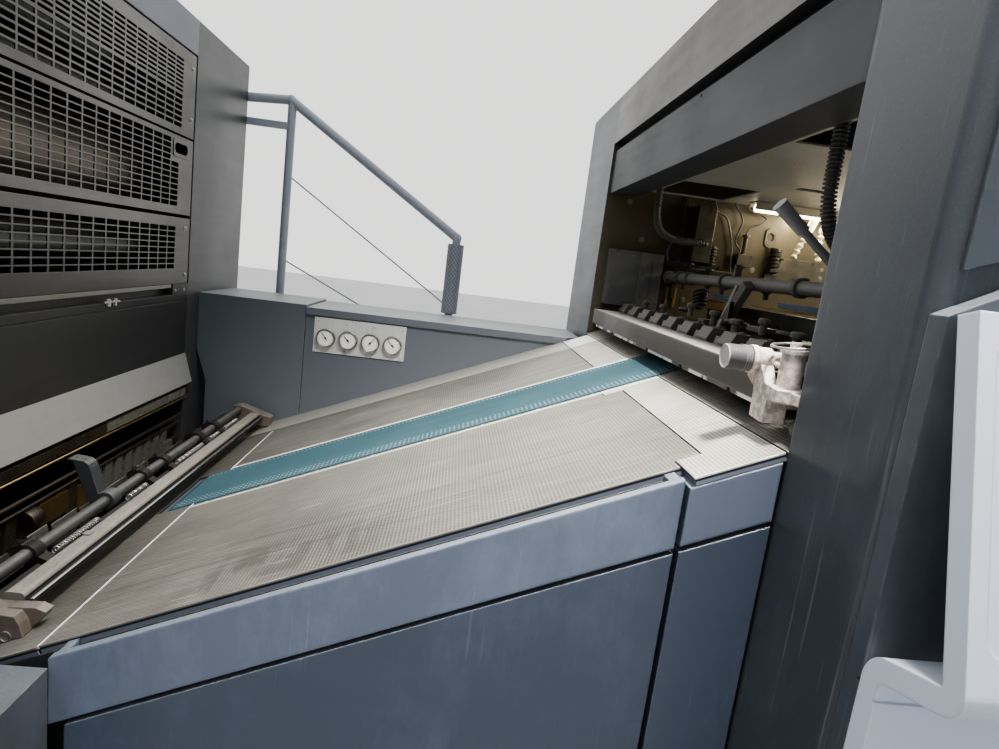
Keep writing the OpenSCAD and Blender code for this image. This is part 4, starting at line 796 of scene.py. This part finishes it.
class PRESS_OT_metalwork(bpy.types.Operator):
    """Finishes the guards, plates, bars, shafts and castings"""
    bl_idname = "press.metalwork"
    bl_label = "Metalwork"

    def execute(self, context):
        dress("fixed_guards middle_guard", brushed("Guard steel", (0.155, 0.152, 0.142), 0.32, (14.0, 14.0, 600.0),
                                                   0.3, 0.5, smudge=0.5))
        dress("lead_plate", brushed("Lead plate steel", (0.42, 0.42, 0.41), 0.44, (14.0, 900.0, 14.0), 0.2,
                                    metallic=0.45))
        dress("beam_cover", brushed("Cover steel", (0.165, 0.162, 0.156), 0.40, (10.0, 420.0, 10.0), 0.10, 0.5))
        dress("unit_apron", brushed("Apron steel", (0.095, 0.095, 0.092), 0.34, (8.0, 8.0, 420.0), 0.2, 0.4, 0.75))
        dress("ledge", brushed("Ledge metal", (0.33, 0.322, 0.30), 0.45, (8.0, 500.0, 8.0), 0.8, 0.4))
        # Past x -0.6285 the bar's lower plate is black: painted shade for the dark gap under the bar
        dress("smoother_bar", brushed("Bar metal", (0.20, 0.182, 0.160), 0.44, (30.0, 9.0, 30.0), 0.8, 0.5, 0.3,
                                      smudge=0.8, dust_colour=(0.46, 0.435, 0.40),
                                      past=(0, -0.6285, (0.012, 0.012, 0.012))))
        dress("front_lay_shaft", brushed("Shaft steel", (0.125, 0.125, 0.122), 0.34, (700.0, 8.0, 700.0), 0.45,
                                         metallic=0.75, collars=((-0.441, -0.407), (-0.056, -0.022), (0.046, 0.080),
                                                                 (0.258, 0.292), (0.371, 0.405))))
        dress("shafts", brushed("Cross shaft steel", (0.21, 0.205, 0.19), 0.50, (700.0, 8.0, 700.0), 0.9,
                                metallic=0.2, dust_colour=(0.38, 0.36, 0.33)))
        dress("front_bar", brushed("Front bar metal", (0.150, 0.130, 0.110), 0.40, (200.0, 6.0, 200.0), 1.8, 0.6, 0.3,
                                   dust_colour=(0.82, 0.79, 0.75), radius=0.007, strength=0.25,
                                   foot=(1.532, 1.470, (0.060, 0.051, 0.043), 1.4500)))
        dress("bar_castings", cast_iron("Lay castings", (0.20, 0.165, 0.140), 0.5, 0.5,
                                        stripe=(-0.203, -0.167, (0.05, 0.055, 0.062))))
        dress("knob_casting", cast_iron("Knob casting", (0.46, 0.40, 0.36), 0.55, 1.0, 0.1,
                                        dust_colour=(0.80, 0.75, 0.71), crust=0.8))
        dress("hold_down_blocks", cast_iron("Block iron", (0.115, 0.108, 0.090), 0.55, 0.8, 0.0, edge=0.6,
                                            dust_colour=(0.32, 0.30, 0.25)))
        dress("lever_bracket", cast_iron("Bracket iron", (0.08, 0.08, 0.08), 0.5, 0.3))
        dress("infeed_bars", cast_iron("Infeed iron", (0.055, 0.045, 0.032), 0.36, 0.2,
                                       stripe=(0.105, 0.56, (0.22, 0.21, 0.18))))
        dress("suction_head", cast_iron("Head iron", (0.10, 0.10, 0.11), 0.45, 0.4))
        # In front of x 0.652 and below z 1.72 the fittings are painted lighter: painted light
        dress("wall_fittings", cast_iron("Fitting metal", (0.10, 0.094, 0.075), 0.40, 0.2, 0.3,
                                         dust_colour=(0.2, 0.19, 0.16), zone=(0.652, 1.720, (0.17, 0.17, 0.165))))
        dress("bay_rollers", brushed("Roller steel", (0.10, 0.10, 0.10), 0.28, (500.0, 8.0, 500.0), 0.1))
        dress("plate_cylinder", brushed("Cylinder steel", (0.20, 0.17, 0.14), 0.30, (400.0, 6.0, 400.0), 0.1))
        dress("knob", plain("Knob plastic", (0.065, 0.066, 0.072), 0.5))
        dress("lever", plain("Lever plastic", (0.165, 0.165, 0.18), 0.42))
        dress("hoses", plain("Hose rubber", (0.07, 0.07, 0.068), 0.55))
        dress("feeder_ceiling", ribbed("Ceiling metal", (0.50, 0.485, 0.44)))
        dress("gauge_panel", brushed("Gauge plate metal", (0.62, 0.62, 0.61), 0.42, (300.0, 10.0, 10.0), 0.1,
                                     metallic=0.3, smudge=0.15))
        return {"FINISHED"}


class PRESS_OT_table(bpy.types.Operator):
    """Finishes the boards and the belt and lays the trim beside them"""
    bl_idname = "press.table"
    bl_label = "Table"

    def execute(self, context):
        c = context.scene.press_colours
        sizes = context.scene.press_sizes
        dress("feed_board", dimpled_board("Board sheet", c.board, sizes))
        # The end board's sheet is the board colour made 2.3 times lighter: a painted sheen
        dress("end_board", dimpled_board("End sheet with painted sheen", shade(c.board, 2.3)[:3], sizes, 0.85, (0.84, 0.82, 0.76, 1),
                                         -0.6795))
        dress("entry_plate", dimpled_board("Entry sheet", shade(c.board, 1.0)[:3], sizes, 0.5, rim=-0.6795))
        dress("lay_plate", dimpled_board("Lay sheet", shade(c.board, 0.9)[:3], sizes, 0.4))
        dress("suction_belt", woven_belt("Belt weave", c.belt))

        bm = bmesh.new()
        for x0, x1, y0, y1, z0, z1 in (
                (JOINT_X - 0.0022, JOINT_X - 0.0002, -0.634, 0.500, -0.004, 0.0009),
                (JOINT_X, 0.415, BELT_LOW_Y - 0.0225, BELT_LOW_Y - 0.0205, 0.0, 0.0016),
                (JOINT_X, 0.415, BELT_HIGH_Y + 0.0115, BELT_HIGH_Y + 0.0135, 0.0, 0.0016)):
            add_box(bm, (x0 / math.cos(TABLE_ANGLE), y0, z0), (x1 / math.cos(TABLE_ANGLE), y1, z1), turn=SLOPE_TURN)
        piece("table_trim", bm, plain("Trim white", (0.90, 0.89, 0.87), 0.35, 0.1))

        bm = bmesh.new()
        for marks in (((-675, -400), (-480, -424), (-271, -446), (-61, -476)),
                      ((-565, -526), (-400, -527), (-252, -524), (-110, -540), (31, -568))):
            spots = smooth_route(mm(*((x, y, 0) for x, y in marks)), 60)
            for a, b in zip(spots, spots[1:]):
                side = Vector((b.y - a.y, a.x - b.x, 0)).normalized() * 0.0006
                corners = (a - side, b - side, b + side, a + side)
                bm.faces.new([bm.verts.new(on_slope(p.x, p.y, 0.0004)) for p in corners])
        piece("rub_lines", bm, plain("Rub ink", (0.10, 0.10, 0.10), 0.6))

        bm = bmesh.new()
        x = JOINT_X + 0.03
        while x < 0.41:
            add_lathe(bm, screw_profile(sizes.screw, 0.002), on_slope(x, BELT_LOW_Y - 0.0145), SLOPE_NORMAL, 16)
            x += 0.115
        piece("trim_screws", bm, plain("Screw steel", (0.72, 0.72, 0.70), 0.3, 0.9), True)
        return {"FINISHED"}


class PRESS_OT_covers(bpy.types.Operator):
    """Hangs the doors and screwed covers on the drive side and the ends"""
    bl_idname = "press.covers"
    bl_label = "Covers"

    def execute(self, context):
        c = context.scene.press_colours
        paint = painted("Door paint", shade(c.housing, 1.25), 0.42, 0.4, 0.6, 420.0, 0.15)
        steel = plain("Lock metal", (0.55, 0.55, 0.54), 0.3, 0.9)
        sheet = 0.003
        doors = []
        for x0, x1 in ((-1.985, -1.450), (-1.438, -0.905)):
            for z0, z1 in ((0.12, 1.19), (1.202, 2.13)):
                doors += [("+y", x0, x1, z0, z1, 1.090), ("-y", x0, x1, z0, z1, -0.877)]
        doors += [("+y", x0, x1, 0.12, 1.33, 1.000) for x0, x1 in ((-0.835, -0.230), (-0.218, 0.385))]
        doors += [("+y", x0, x1, 0.12, 1.40, 1.145) for x0, x1 in ((0.460, 1.062), (1.074, 1.680))]
        doors += [("+y", 0.460, 1.200, 1.412, 2.12, 1.145)]
        for y0, y1 in ((-0.850, -0.290), (-0.278, 0.278), (0.290, 1.060)):
            doors += [("-x", y0, y1, z0, z1, -2.016) for z0, z1 in ((0.12, 1.19), (1.202, 2.05))]
        bm = bmesh.new()
        locks = bmesh.new()
        for facing, a0, a1, z0, z1, face in doors:
            out = 1.0 if facing == "+y" else -1.0
            front = face + sheet * out

            def at(across, depth, z):
                return (depth, across, z) if facing == "-x" else (across, depth, z)

            add_box(bm, at(a0, min(face, front), z0), at(a1, max(face, front), z1), 0.0015)
            corners = [at(a, front, z) for a in (a0 + 0.03, a1 - 0.03) for z in (z0 + 0.03, z1 - 0.03)]
            add_screws(locks, corners, 0.006, 0.003, facing, steel)
            add_lathe(locks, [(0.0, 0.014), (0.002, 0.014), (0.0035, 0.0125), (0.0030, 0.006), (0.0020, 0.006)],
                      at(a1 - 0.06, front, (z0 + z1) / 2), at(0, out, 0), 28)
        piece("doors", bm, paint)
        piece("door_locks", locks, steel)
        return {"FINISHED"}


class PRESS_OT_gauges(bpy.types.Operator):
    """Builds the dials, needles, bezels and screws of the pressure gauges"""
    bl_idname = "press.gauges"
    bl_label = "Gauges"

    def execute(self, context):
        low, high = GAUGES
        pitch = 0.0733
        radius = 0.0315
        first = Vector(((low[0] + high[0]) / 2 - 1.5 * pitch, low[1], (low[2] + high[2]) / 2 - 0.008))
        ink = plain("Dial ink", (0.015, 0.015, 0.018), 0.5)
        dials, marks, rings, needles = (bmesh.new() for _ in range(4))
        for i, swing in enumerate((-38, -44, 40, -46)):
            centre = first + Vector((i * pitch, 0, 0))
            add_lathe(dials, [(0.0, radius - 0.0036), (0.0006, radius - 0.0036)], centre + Vector((0, 0.0042, 0)),
                      (0, -1, 0), 48)
            add_lathe(rings, [(-0.014, radius - 0.0002), (-0.014, radius + 0.0003), (-0.001, radius + 0.0003),
                              (0.0012, radius - 0.0012), (0.0012, radius - 0.0030), (-0.0036, radius - 0.0040),
                              (-0.0036, radius - 0.0052)], centre, (0, -1, 0), 48, closed=False)

            def spin(degrees):
                return Matrix.Translation(centre) @ Matrix.Rotation(math.radians(degrees), 4, "Y")

            for k in range(41):
                half, mid, inward = (0.0005, 0.0235, 0.0022) if k % 5 == 0 else (0.00028, 0.0245, 0.0012)
                add_box(marks, (-half, 0.0030, mid - inward), (half, 0.0034, mid + 0.0012),
                        turn=spin(-135 + 270 * k / 40))
            add_box(needles, (-0.0010, 0.0016, -0.0090), (0.0010, 0.0024, 0.0205), turn=spin(swing))
            add_lathe(needles, [(0.0, 0.0034), (0.002, 0.0030), (0.0024, 0.0)], centre + Vector((0, 0.0024, 0)),
                      (0, -1, 0), 20)
        piece("gauge_dials", dials, plain("Dial white", (0.78, 0.77, 0.72), 0.45, vary=0.05))
        piece("gauge_marks", marks, ink)
        piece("gauge_bezels", rings, brushed("Bezel steel", (0.33, 0.33, 0.32), 0.35, (60.0, 60.0, 60.0), 0.2),
              True)
        piece("gauge_needles", needles, ink, True)
        bm = bmesh.new()
        for x in (low[0] + 0.012, low[0] + 0.105, high[0] - 0.105, high[0] - 0.012):
            for z in (high[2] - 0.014, low[2] + 0.012):
                add_lathe(bm, screw_profile(0.0032, 0.002), (x, WALL_Y - 0.004, z), (0, -1, 0), 16)
        piece("gauge_screws", bm, plain("Plate screws", (0.45, 0.45, 0.44), 0.35, 0.8), True)
        return {"FINISHED"}


class PRESS_OT_front_lays(bpy.types.Operator):
    """Fits the stop plates, springs, edge strip and screws around the lay shaft"""
    bl_idname = "press.front_lays"
    bl_label = "Front lays"

    def execute(self, context):
        bm = bmesh.new()
        for y0, y1, lift in ((-540, -404, 0), (-392, -338, 6), (-325, -248, 0), (-236, -202, -4), (-160, -28, 1),
                             (-10, 32, 5), (42, 140, -1), (146, 235, 0), (300, 366, 2), (410, 560, 0)):
            add_plate(bm, [(-0.7225, 0.992), (-0.7215, 0.992), (-0.7205, (1026 + lift) * MM),
                           (-0.7235, (1035 + lift) * MM), (-0.7245, (1034 + lift) * MM),
                           (-0.7218, (1025 + lift) * MM)], y0 * MM, y1 * MM)
        piece("stop_plates", bm, brushed("Stop steel", (0.62, 0.60, 0.56), 0.32, (10.0, 500.0, 10.0), 0.5))

        bm = bmesh.new()
        for y0, y1 in ((-400, -262), (-150, -70), (90, 250), (300, 365), (412, 520)):
            add_coil(bm, (-0.674, y0 * MM, 1.023), (-0.674, y1 * MM, 1.023), 0.0058, 0.0013, (y1 - y0) / 7.0)
        piece("lay_springs", bm, plain("Spring steel", (0.45, 0.44, 0.42), 0.35, 0.9), True)

        bm = bmesh.new()
        add_plate(bm, [(-0.6222, 1.0205), (-0.6164, 1.0205), (-0.6160, 1.0222), (-0.6180, 1.0232),
                       (-0.6215, 1.0224)], -0.547, 0.599)
        piece("bar_edge", bm, brushed("Edge chrome", (0.75, 0.75, 0.72), 0.16, (8.0, 400.0, 8.0), 0.1))

        dark = plain("Blackened screws", (0.05, 0.05, 0.05), 0.4, 0.8)
        bm = bmesh.new()
        add_screws(bm, mm((-757, -187, 1114.8), (-741, -187, 1113.2)), 0.0022, 0.0010, "+z", dark)
        add_screws(bm, mm((-618, 612, 1001), (-650, 612, 1012)), 0.005, 0.004, "-y", dark)
        for y in (-429, -44, 58, 270, 383):
            add_screws(bm, mm((-713, y, 1049)), 0.0040, 0.004, "+z", dark)
        piece("lay_screws", bm, dark)

        bm = bmesh.new()
        add_lathe(bm, [(0.0, 0.0088), (0.0016, 0.0088), (0.0016, 0.0070), (0.0004, 0.0066), (0.0004, 0.001)],
                  (-0.6305, -0.588, 0.984), (0, -1, 0), 28)
        add_box(bm, (-0.657, -0.348, 1.0285), (-0.645, -0.332, 1.0335), 0.001)
        piece("bar_stops", bm, cast_iron("Stop iron", (0.25, 0.23, 0.21)))

        bm = bmesh.new()
        add_box(bm, (-0.886, -0.128, 0.925), (-0.864, -0.024, 0.978), 0.003)
        add_box(bm, (-0.886, 0.020, 0.905), (-0.868, 0.075, 0.968), 0.003)
        piece("brass_box", bm, plain("Brass box", (0.20, 0.13, 0.045), 0.36, 0.8, 90.0))
        bm = bmesh.new()
        add_tube(bm, mm((-850, -560, 1070), (-850, 570, 1070)), 0.0032)
        piece("gold_rod", bm, plain("Polished rod", (0.80, 0.58, 0.28), 0.12, 1.0), True)
        bm = bmesh.new()
        for z, x, r in ((1012, -862, 5), (988, -866, 4)):
            add_tube(bm, mm((x, -560, z), (x, 560, z)), r * MM)
        add_lathe(bm, [(0.0, 0.020), (0.004, 0.022), (0.034, 0.022), (0.038, 0.019)], (-0.866, -0.174, 0.960),
                  (0, 1, 0))
        piece("throat_rods", bm, brushed("Throat steel", (0.16, 0.13, 0.10), 0.35, (8.0, 300.0, 8.0), 0.2),
              True)
        return {"FINISHED"}


class PRESS_OT_feeder_inside(bpy.types.Operator):
    """Builds the collars, springs, caps, nozzles and hose ribs inside the feeder"""
    bl_idname = "press.feeder_inside"
    bl_label = "Feeder inside"

    def execute(self, context):
        grey = cast_iron("Dusty iron", (0.110, 0.104, 0.088), 0.55, 0.7, 0.0, dust_colour=(0.28, 0.26, 0.22))
        dark = cast_iron("Oily iron", (0.03, 0.03, 0.028), 0.4, 0.3)
        self.collars_and_caps(grey, dark)
        self.plates(dark)
        self.hoses(grey)
        self.wall(plain("Fitting screws", (0.30, 0.29, 0.26), 0.4, 0.8))
        return {"FINISHED"}

    def collars_and_caps(self, grey, dark):
        bm = bmesh.new()
        for y in (642, 430, 320, 52, -300):
            add_lathe(bm, [(0.0, 0.0095), (0.002, 0.0125), (0.020, 0.0125), (0.022, 0.0095)],
                      (0.709, y * MM, 1.622), (0, 1, 0), 24)
            add_box(bm, (0.704, (y + 5) * MM, 1.596), (0.714, (y + 17) * MM, 1.616), 0.0015)
        for y in (690, 560, 476, 210, -180, -380):
            add_lathe(bm, [(0.0, 0.0155), (0.0015, 0.0215), (0.015, 0.0215), (0.0165, 0.0155)],
                      (0.667, y * MM, 1.630), (0, 1, 0), 28)
        add_box(bm, (0.656, 0.142, 1.634), (0.674, 0.150, 1.676), 0.002)
        add_tube(bm, mm((640, 16, 1627), (640, 127, 1512)), 0.0150, 4)
        piece("shaft_collars", bm, grey, True)

        bm = bmesh.new()
        add_lathe(bm, [(0.0, 0.009), (0.002, 0.0125), (0.150, 0.0125), (0.152, 0.009), (0.152, 0.005),
                       (0.330, 0.005)], (0.655, 0.665, 1.672), (0.10, -1, -0.02), 24)
        add_coil(bm, (0.640, 0.300, 1.553), (0.640, 0.316, 1.600), 0.0165, 0.0036, 5.0, 8)
        add_coil(bm, (0.802, 0.6987, 1.662), (0.802, 0.6987, 1.745), 0.0165, 0.0032, 8.0, 8)
        add_coil(bm, (1.020, 0.6900, 1.701), (1.020, 0.6900, 1.764), 0.0172, 0.0034, 5.0, 8)
        piece("inner_springs", bm, dark, True)

        bm = bmesh.new()
        for y, z, r in ((487, 1544, 11), (316, 1545, 12), (103, 1563, 11), (-49, 1556, 12), (-170, 1548, 14),
                        (-290, 1560, 11), (-420, 1548, 13)):
            add_lathe(bm, [(0.0, r * 0.6 * MM), (0.022, r * 0.6 * MM), (0.022, r * MM), (0.030, r * MM),
                           (0.033, r * 0.7 * MM)], (0.545, y * MM, z * MM - 0.030), (0, 0, 1), 24)
        for i in range(11):
            y = (10 + (i - 5) * 118) * MM
            add_plate(bm, [(0.498, 1.478), (0.520, 1.472), (0.524, 1.500), (0.506, 1.512)], y + 0.031, y + 0.052)
            add_plate(bm, [(0.505, 1.500), (0.548, 1.502), (0.552, 1.512), (0.512, 1.518)], y - 0.026, y + 0.020)
            add_lathe(bm, [(0.0, 0.006), (0.010, 0.006), (0.012, 0.004)], (0.530, y - 0.014, 1.517), (0, 0, 1), 16)
        for y, z, r in ((346, 1535, 22), (-6, 1530, 30), (-246, 1530, 24)):
            add_lathe(bm, [(0.0, r * MM), (0.006, r * MM), (0.008, (r - 3) * MM)], (0.620, y * MM, z * MM),
                      (0.2, 0.1, 1), 28)
        for y0, y1, z in ((-163, -101, 1538), (-350, -300, 1530), (150, 190, 1528)):
            add_box(bm, (0.600, y0 * MM, (z - 12) * MM), (0.640, y1 * MM, z * MM), 0.002)
        piece("block_caps", bm, grey)

    def plates(self, dark):
        bm = bmesh.new()
        add_plate(bm, [(0.744, 1.5710), (0.780, 1.5690), (0.780, 1.5716), (0.744, 1.5736)], 0.392, 0.577)
        add_plate(bm, [(0.744, 1.5760), (0.780, 1.5740), (0.780, 1.5766), (0.744, 1.5786)], -0.380, 0.203)
        add_plate(bm, [(0.744, 1.5480), (0.750, 1.5480), (0.750, 1.5740), (0.744, 1.5740)], 0.300, 0.620)
        add_box(bm, (0.672, 0.7085, 1.532), (0.680, 0.7145, 1.597), 0.001)
        add_box(bm, (0.698, 0.7085, 1.531), (0.708, 0.7145, 1.596), 0.001)
        piece("brass_plates", bm, plain("Brass sheet", (0.40, 0.25, 0.09), 0.4, 0.7, 120.0))
        bm = bmesh.new()
        for y0, y1, z0, z1 in ((405, 544, 1576, 1594), (-330, 113, 1579, 1594), (598, 640, 1540, 1600)):
            add_plate(bm, [(0.770, z0 * MM), (0.774, z0 * MM), (0.774, z1 * MM), (0.770, z1 * MM)], y0 * MM, y1 * MM)
        piece("blue_shields", bm, plain("Blue shield", (0.28, 0.40, 0.56), 0.4))
        bm = bmesh.new()
        add_plate(bm, [(0.616, 1.500), (0.626, 1.500), (0.626, 1.582), (0.616, 1.582)], 0.043, 0.048)
        add_plate(bm, [(0.800, 1.440), (0.812, 1.440), (0.812, 1.566), (0.800, 1.566)], -0.640, 0.640)
        add_plate(bm, [(0.640, 1.470), (0.700, 1.470), (0.700, 1.500), (0.640, 1.515)], -0.500, 0.500)
        piece("inner_plates", bm, dark)

    def hoses(self, grey):
        rubber = plain("Rib rubber", (0.085, 0.085, 0.080), 0.45)
        bm = bmesh.new()
        far = ((563, 600, 1899), (563, 600, 1850), (568, 600, 1805), (586, 600, 1768), (628, 600, 1749),
               (690, 600, 1747), (731, 604, 1748), (740, 618, 1748))
        near = ((557, -402, 1899), (557, -402, 1840), (560, -400, 1780), (578, -390, 1730), (625, -360, 1700),
                (700, -320, 1690))
        for points, pitch, radius, core in ((far, 0.0072, 0.0104, 0.0086), (near, 0.0070, 0.0106, 0.0088)):
            route = smooth_route(mm(*points), 90)
            add_ribs(bm, route, pitch, radius, 0.0024, rubber)
            add_tube(bm, route, core, 16)
        for points in (((852, 690, 1899), (852, 690, 1890), (872, 690, 1870), (886, 690, 1840), (876, 690, 1800),
                        (874, 690, 1770), (893, 690, 1750), (893, 690, 1736)),
                       ((908, 690, 1802), (908, 690, 1812), (920, 690, 1828), (948, 690, 1842), (966, 690, 1860),
                        (940, 690, 1874), (904, 690, 1880), (896, 690, 1890), (896, 690, 1899))):
            add_tube(bm, smooth_route(mm(*points), 60), 0.0032)
        hose = piece("hose_ribs", bm, rubber, True)
        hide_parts("hoses")
        bm = bmesh.new()
        add_tube(bm, smooth_route(mm((692, -325, 1691), (702, -319, 1689), (713, -312, 1688)), 6), 0.0126, 20)
        add_tube(bm, smooth_route(mm((706, -316, 1689), (720, -309, 1685), (727, -306, 1668), (722, -307, 1646),
                                     (700, -312, 1630), (668, -318, 1624)), 36), 0.0080, 16)
        piece("hose_elbow", bm, grey, True)
        pale = plain("Nozzle plastic", (0.80, 0.74, 0.56), 0.45, vary=0.08)
        bm = bmesh.new()
        for points in (
                ((1108, 650, 1894), (1108, 650, 1870), (1092, 650, 1820), (1076, 650, 1780), (1064, 650, 1748)),
                ((1151, 650, 1894), (1151, 650, 1870), (1143, 650, 1820), (1143, 650, 1780), (1148, 650, 1748))):
            route = smooth_route(mm(*points), 40)
            add_ribs(bm, route[16:], 0.017, 0.0050, 0.0060, pale)
            add_tube(bm, route[14:], 0.0060, 12)
            add_tube(bm, route[:18], [0.0165 if k in (2, 3, 4) else 0.0125 for k in range(18)], 16)
        piece("nozzle_beads", bm, pale, True)

    def wall(self, steel):
        bm = bmesh.new()
        add_screws(bm, mm((534, 689.5, 1682)), 0.0055, 0.003, "-y", steel)
        add_screws(bm, mm((1197, 700.5, 1720), (1197, 700.5, 1691)), 0.005, 0.003, "-y", steel)
        add_screws(bm, mm((560, 714.6, 1742), (735, 714.6, 1560), (960, 714.6, 1690), (500, 714.6, 1860)), 0.007,
                   0.003, "-y", steel)
        piece("wall_screws", bm, steel)
        bm = bmesh.new()
        for points in (((784, 700, 1899), (800, 700, 1864), (830, 696, 1850), (850, 696, 1810), (866, 696, 1756),
                        (872, 696, 1700), (876, 696, 1672)),
                       ((660, 700, 1745), (650, 700, 1720), (655, 700, 1690), (662, 700, 1676))):
            add_tube(bm, smooth_route(mm(*points), 30), 0.0035, 8)
        piece("wall_wires", bm, plain("Wire sleeve", (0.16, 0.15, 0.13), 0.5), True)


class PRESS_OT_fittings(bpy.types.Operator):
    """Fits the screws, the apron's clamp, the knob's face and the wrap on the rail's post"""
    bl_idname = "press.fittings"
    bl_label = "Fittings"

    def execute(self, context):
        steel = plain("Fitting steel", (0.42, 0.42, 0.41), 0.35, 0.85)
        bm = bmesh.new()
        for radius, height, spots in (
                (0.005, 0.003, ((549, 1588), (560, 1450), (-560, 1588), (-560, 1450))),
                (0.005, 0.003, ((560, 1900), (560, 2040), (-560, 1900), (-560, 2040))),
                (0.004, 0.002, ((500, 1404), (560, 1404), (-500, 1404), (-560, 1404)))):
            add_screws(bm, mm(*((-866, y, z) for y, z in spots)), radius, height, "+x", steel)
        piece("guard_screws", bm, steel)
        bm = bmesh.new()
        add_box(bm, (-0.8655, 0.106, 1.3925), (-0.860, 0.174, 1.3965), 0.001)
        add_box(bm, (-0.8655, 0.118, 1.384), (-0.8595, 0.130, 1.402), 0.001)
        add_box(bm, (-0.8655, 0.150, 1.384), (-0.8595, 0.158, 1.402), 0.001)
        piece("apron_clamp", bm, plain("Clamp white", (0.40, 0.40, 0.38), 0.4, 0.3))

        bm = bmesh.new()
        add_lathe(bm, [(0.0, 0.0176), (0.0008, 0.0176), (0.0016, 0.0166), (0.0010, 0.0150), (0.0004, 0.0146)],
                  (0.355, KNOB_Y, KNOB_Z), (-1, 0, 0), 48)
        piece("knob_face", bm, plain("Knob face", (0.46, 0.455, 0.45), 0.42, vary=0.15), True, "knob")
        bm = bmesh.new()
        lean = math.radians(52.2)
        way = Vector((-math.sin(lean), 0, math.cos(lean)))
        add_lathe(bm, [(0.0, 0.0128), (0.0008, 0.0128), (0.0014, 0.0118), (0.0010, 0.0100)],
                  LEVER_PIVOT + way * 0.209, way, 40)
        piece("lever_cap", bm, plain("Lever cap", (0.45, 0.45, 0.46), 0.4), True, "lever")
        bm = bmesh.new()
        for x in (0.380, 0.3835, 0.387):
            add_lathe(bm, [(-0.001, 0.0186), (0.0, 0.0192), (0.001, 0.0186)], (x, KNOB_Y, KNOB_Z), (1, 0, 0), 40,
                      closed=False)
        piece("knob_grip", bm, plain("Knob grip", (0.15, 0.145, 0.145), 0.5), True, "knob")

        bm = bmesh.new()
        angles = [2 * math.pi * k / 48 for k in range(46)]
        add_tube(bm, [Vector((0.430 + 0.031 * math.cos(a), -0.629 + 0.031 * math.sin(a), 1.541 + 0.004 * math.cos(a)))
                      for a in angles], 0.0019)
        piece("casting_hoop", bm, steel, True)

        # A mesh sleeve of crossed wires round the rail's post
        bm = bmesh.new()
        centre, radius = Vector((-0.062, 1.060, 0.0)), 0.0303
        low, high = 1.3885, 1.6535
        wires, steps, twist = 14, 40, 7.0
        for hand in (1, -1):
            for k in range(wires):
                angles = [2 * math.pi * k / wires + hand * twist * t / steps for t in range(steps + 1)]
                add_tube(bm, [centre + Vector((radius * math.cos(a), radius * math.sin(a),
                                               low + (high - low) * t / steps)) for t, a in enumerate(angles)],
                         0.0009, 4)
        piece("rail_wrap", bm, plain("Wrap mesh", (0.20, 0.20, 0.20), 0.55, 0.3))
        return {"FINISHED"}


class PRESS_OT_lamp(bpy.types.Operator):
    """Lights the tube under the feeder's ceiling"""
    bl_idname = "press.lamp"
    bl_label = "Lamp tube"

    def execute(self, context):
        bm = bmesh.new()
        for y0, y1, z0, z1 in ((0.575, 0.625, 1.8962, 1.8990), (0.575, 0.578, 1.8740, 1.8965),
                               (0.622, 0.625, 1.8840, 1.8965)):
            add_box(bm, (0.870, y0, z0), (1.398, y1, z1), 0.0008)
        piece("lamp_tray", bm, plain("Lamp tray paint", (0.10, 0.095, 0.085), 0.5))
        bm = bmesh.new()
        add_lathe(bm, [(0.0, 0.012), (0.004, 0.0134), (0.504, 0.0134), (0.508, 0.012)], (0.880, 0.600, 1.881),
                  (1, 0, 0), 24)
        piece("lamp_tube", bm, plain("Lamp glass", (0.9, 0.88, 0.8), 0.3, vary=0.0, emission=(1.0, 0.86, 0.62),
                                     level=9.0), True)
        return {"FINISHED"}


class PRESS_PT_panel(bpy.types.Panel):
    bl_label = "Press infeed"
    bl_idname = "PRESS_PT_panel"
    bl_space_type = "VIEW_3D"
    bl_region_type = "UI"
    bl_category = "Press"

    def draw(self, context):
        for step in STEPS:
            self.layout.operator(step.bl_idname)
        for group in (context.scene.press_sizes, context.scene.press_colours):
            for key in group.bl_rna.properties.keys():
                if key not in ("rna_type", "name"):
                    self.layout.prop(group, key)


STEPS = (PRESS_OT_stage, PRESS_OT_housings, PRESS_OT_metalwork, PRESS_OT_table, PRESS_OT_covers, PRESS_OT_gauges,
         PRESS_OT_front_lays, PRESS_OT_feeder_inside, PRESS_OT_fittings, PRESS_OT_lamp)
CLASSES = (PressSizes, PressColours) + STEPS + (PRESS_PT_panel,)


def register():
    for cls in CLASSES:
        bpy.utils.register_class(cls)
    bpy.types.Scene.press_sizes = bpy.props.PointerProperty(type=PressSizes)
    bpy.types.Scene.press_colours = bpy.props.PointerProperty(type=PressColours)


def unregister():
    del bpy.types.Scene.press_colours
    del bpy.types.Scene.press_sizes
    for cls in reversed(CLASSES):
        bpy.utils.unregister_class(cls)


def main():
    register()
    for step in STEPS:
        group, name = step.bl_idname.split(".")
        getattr(getattr(bpy.ops, group), name)()


if __name__ == "__main__":
    main()
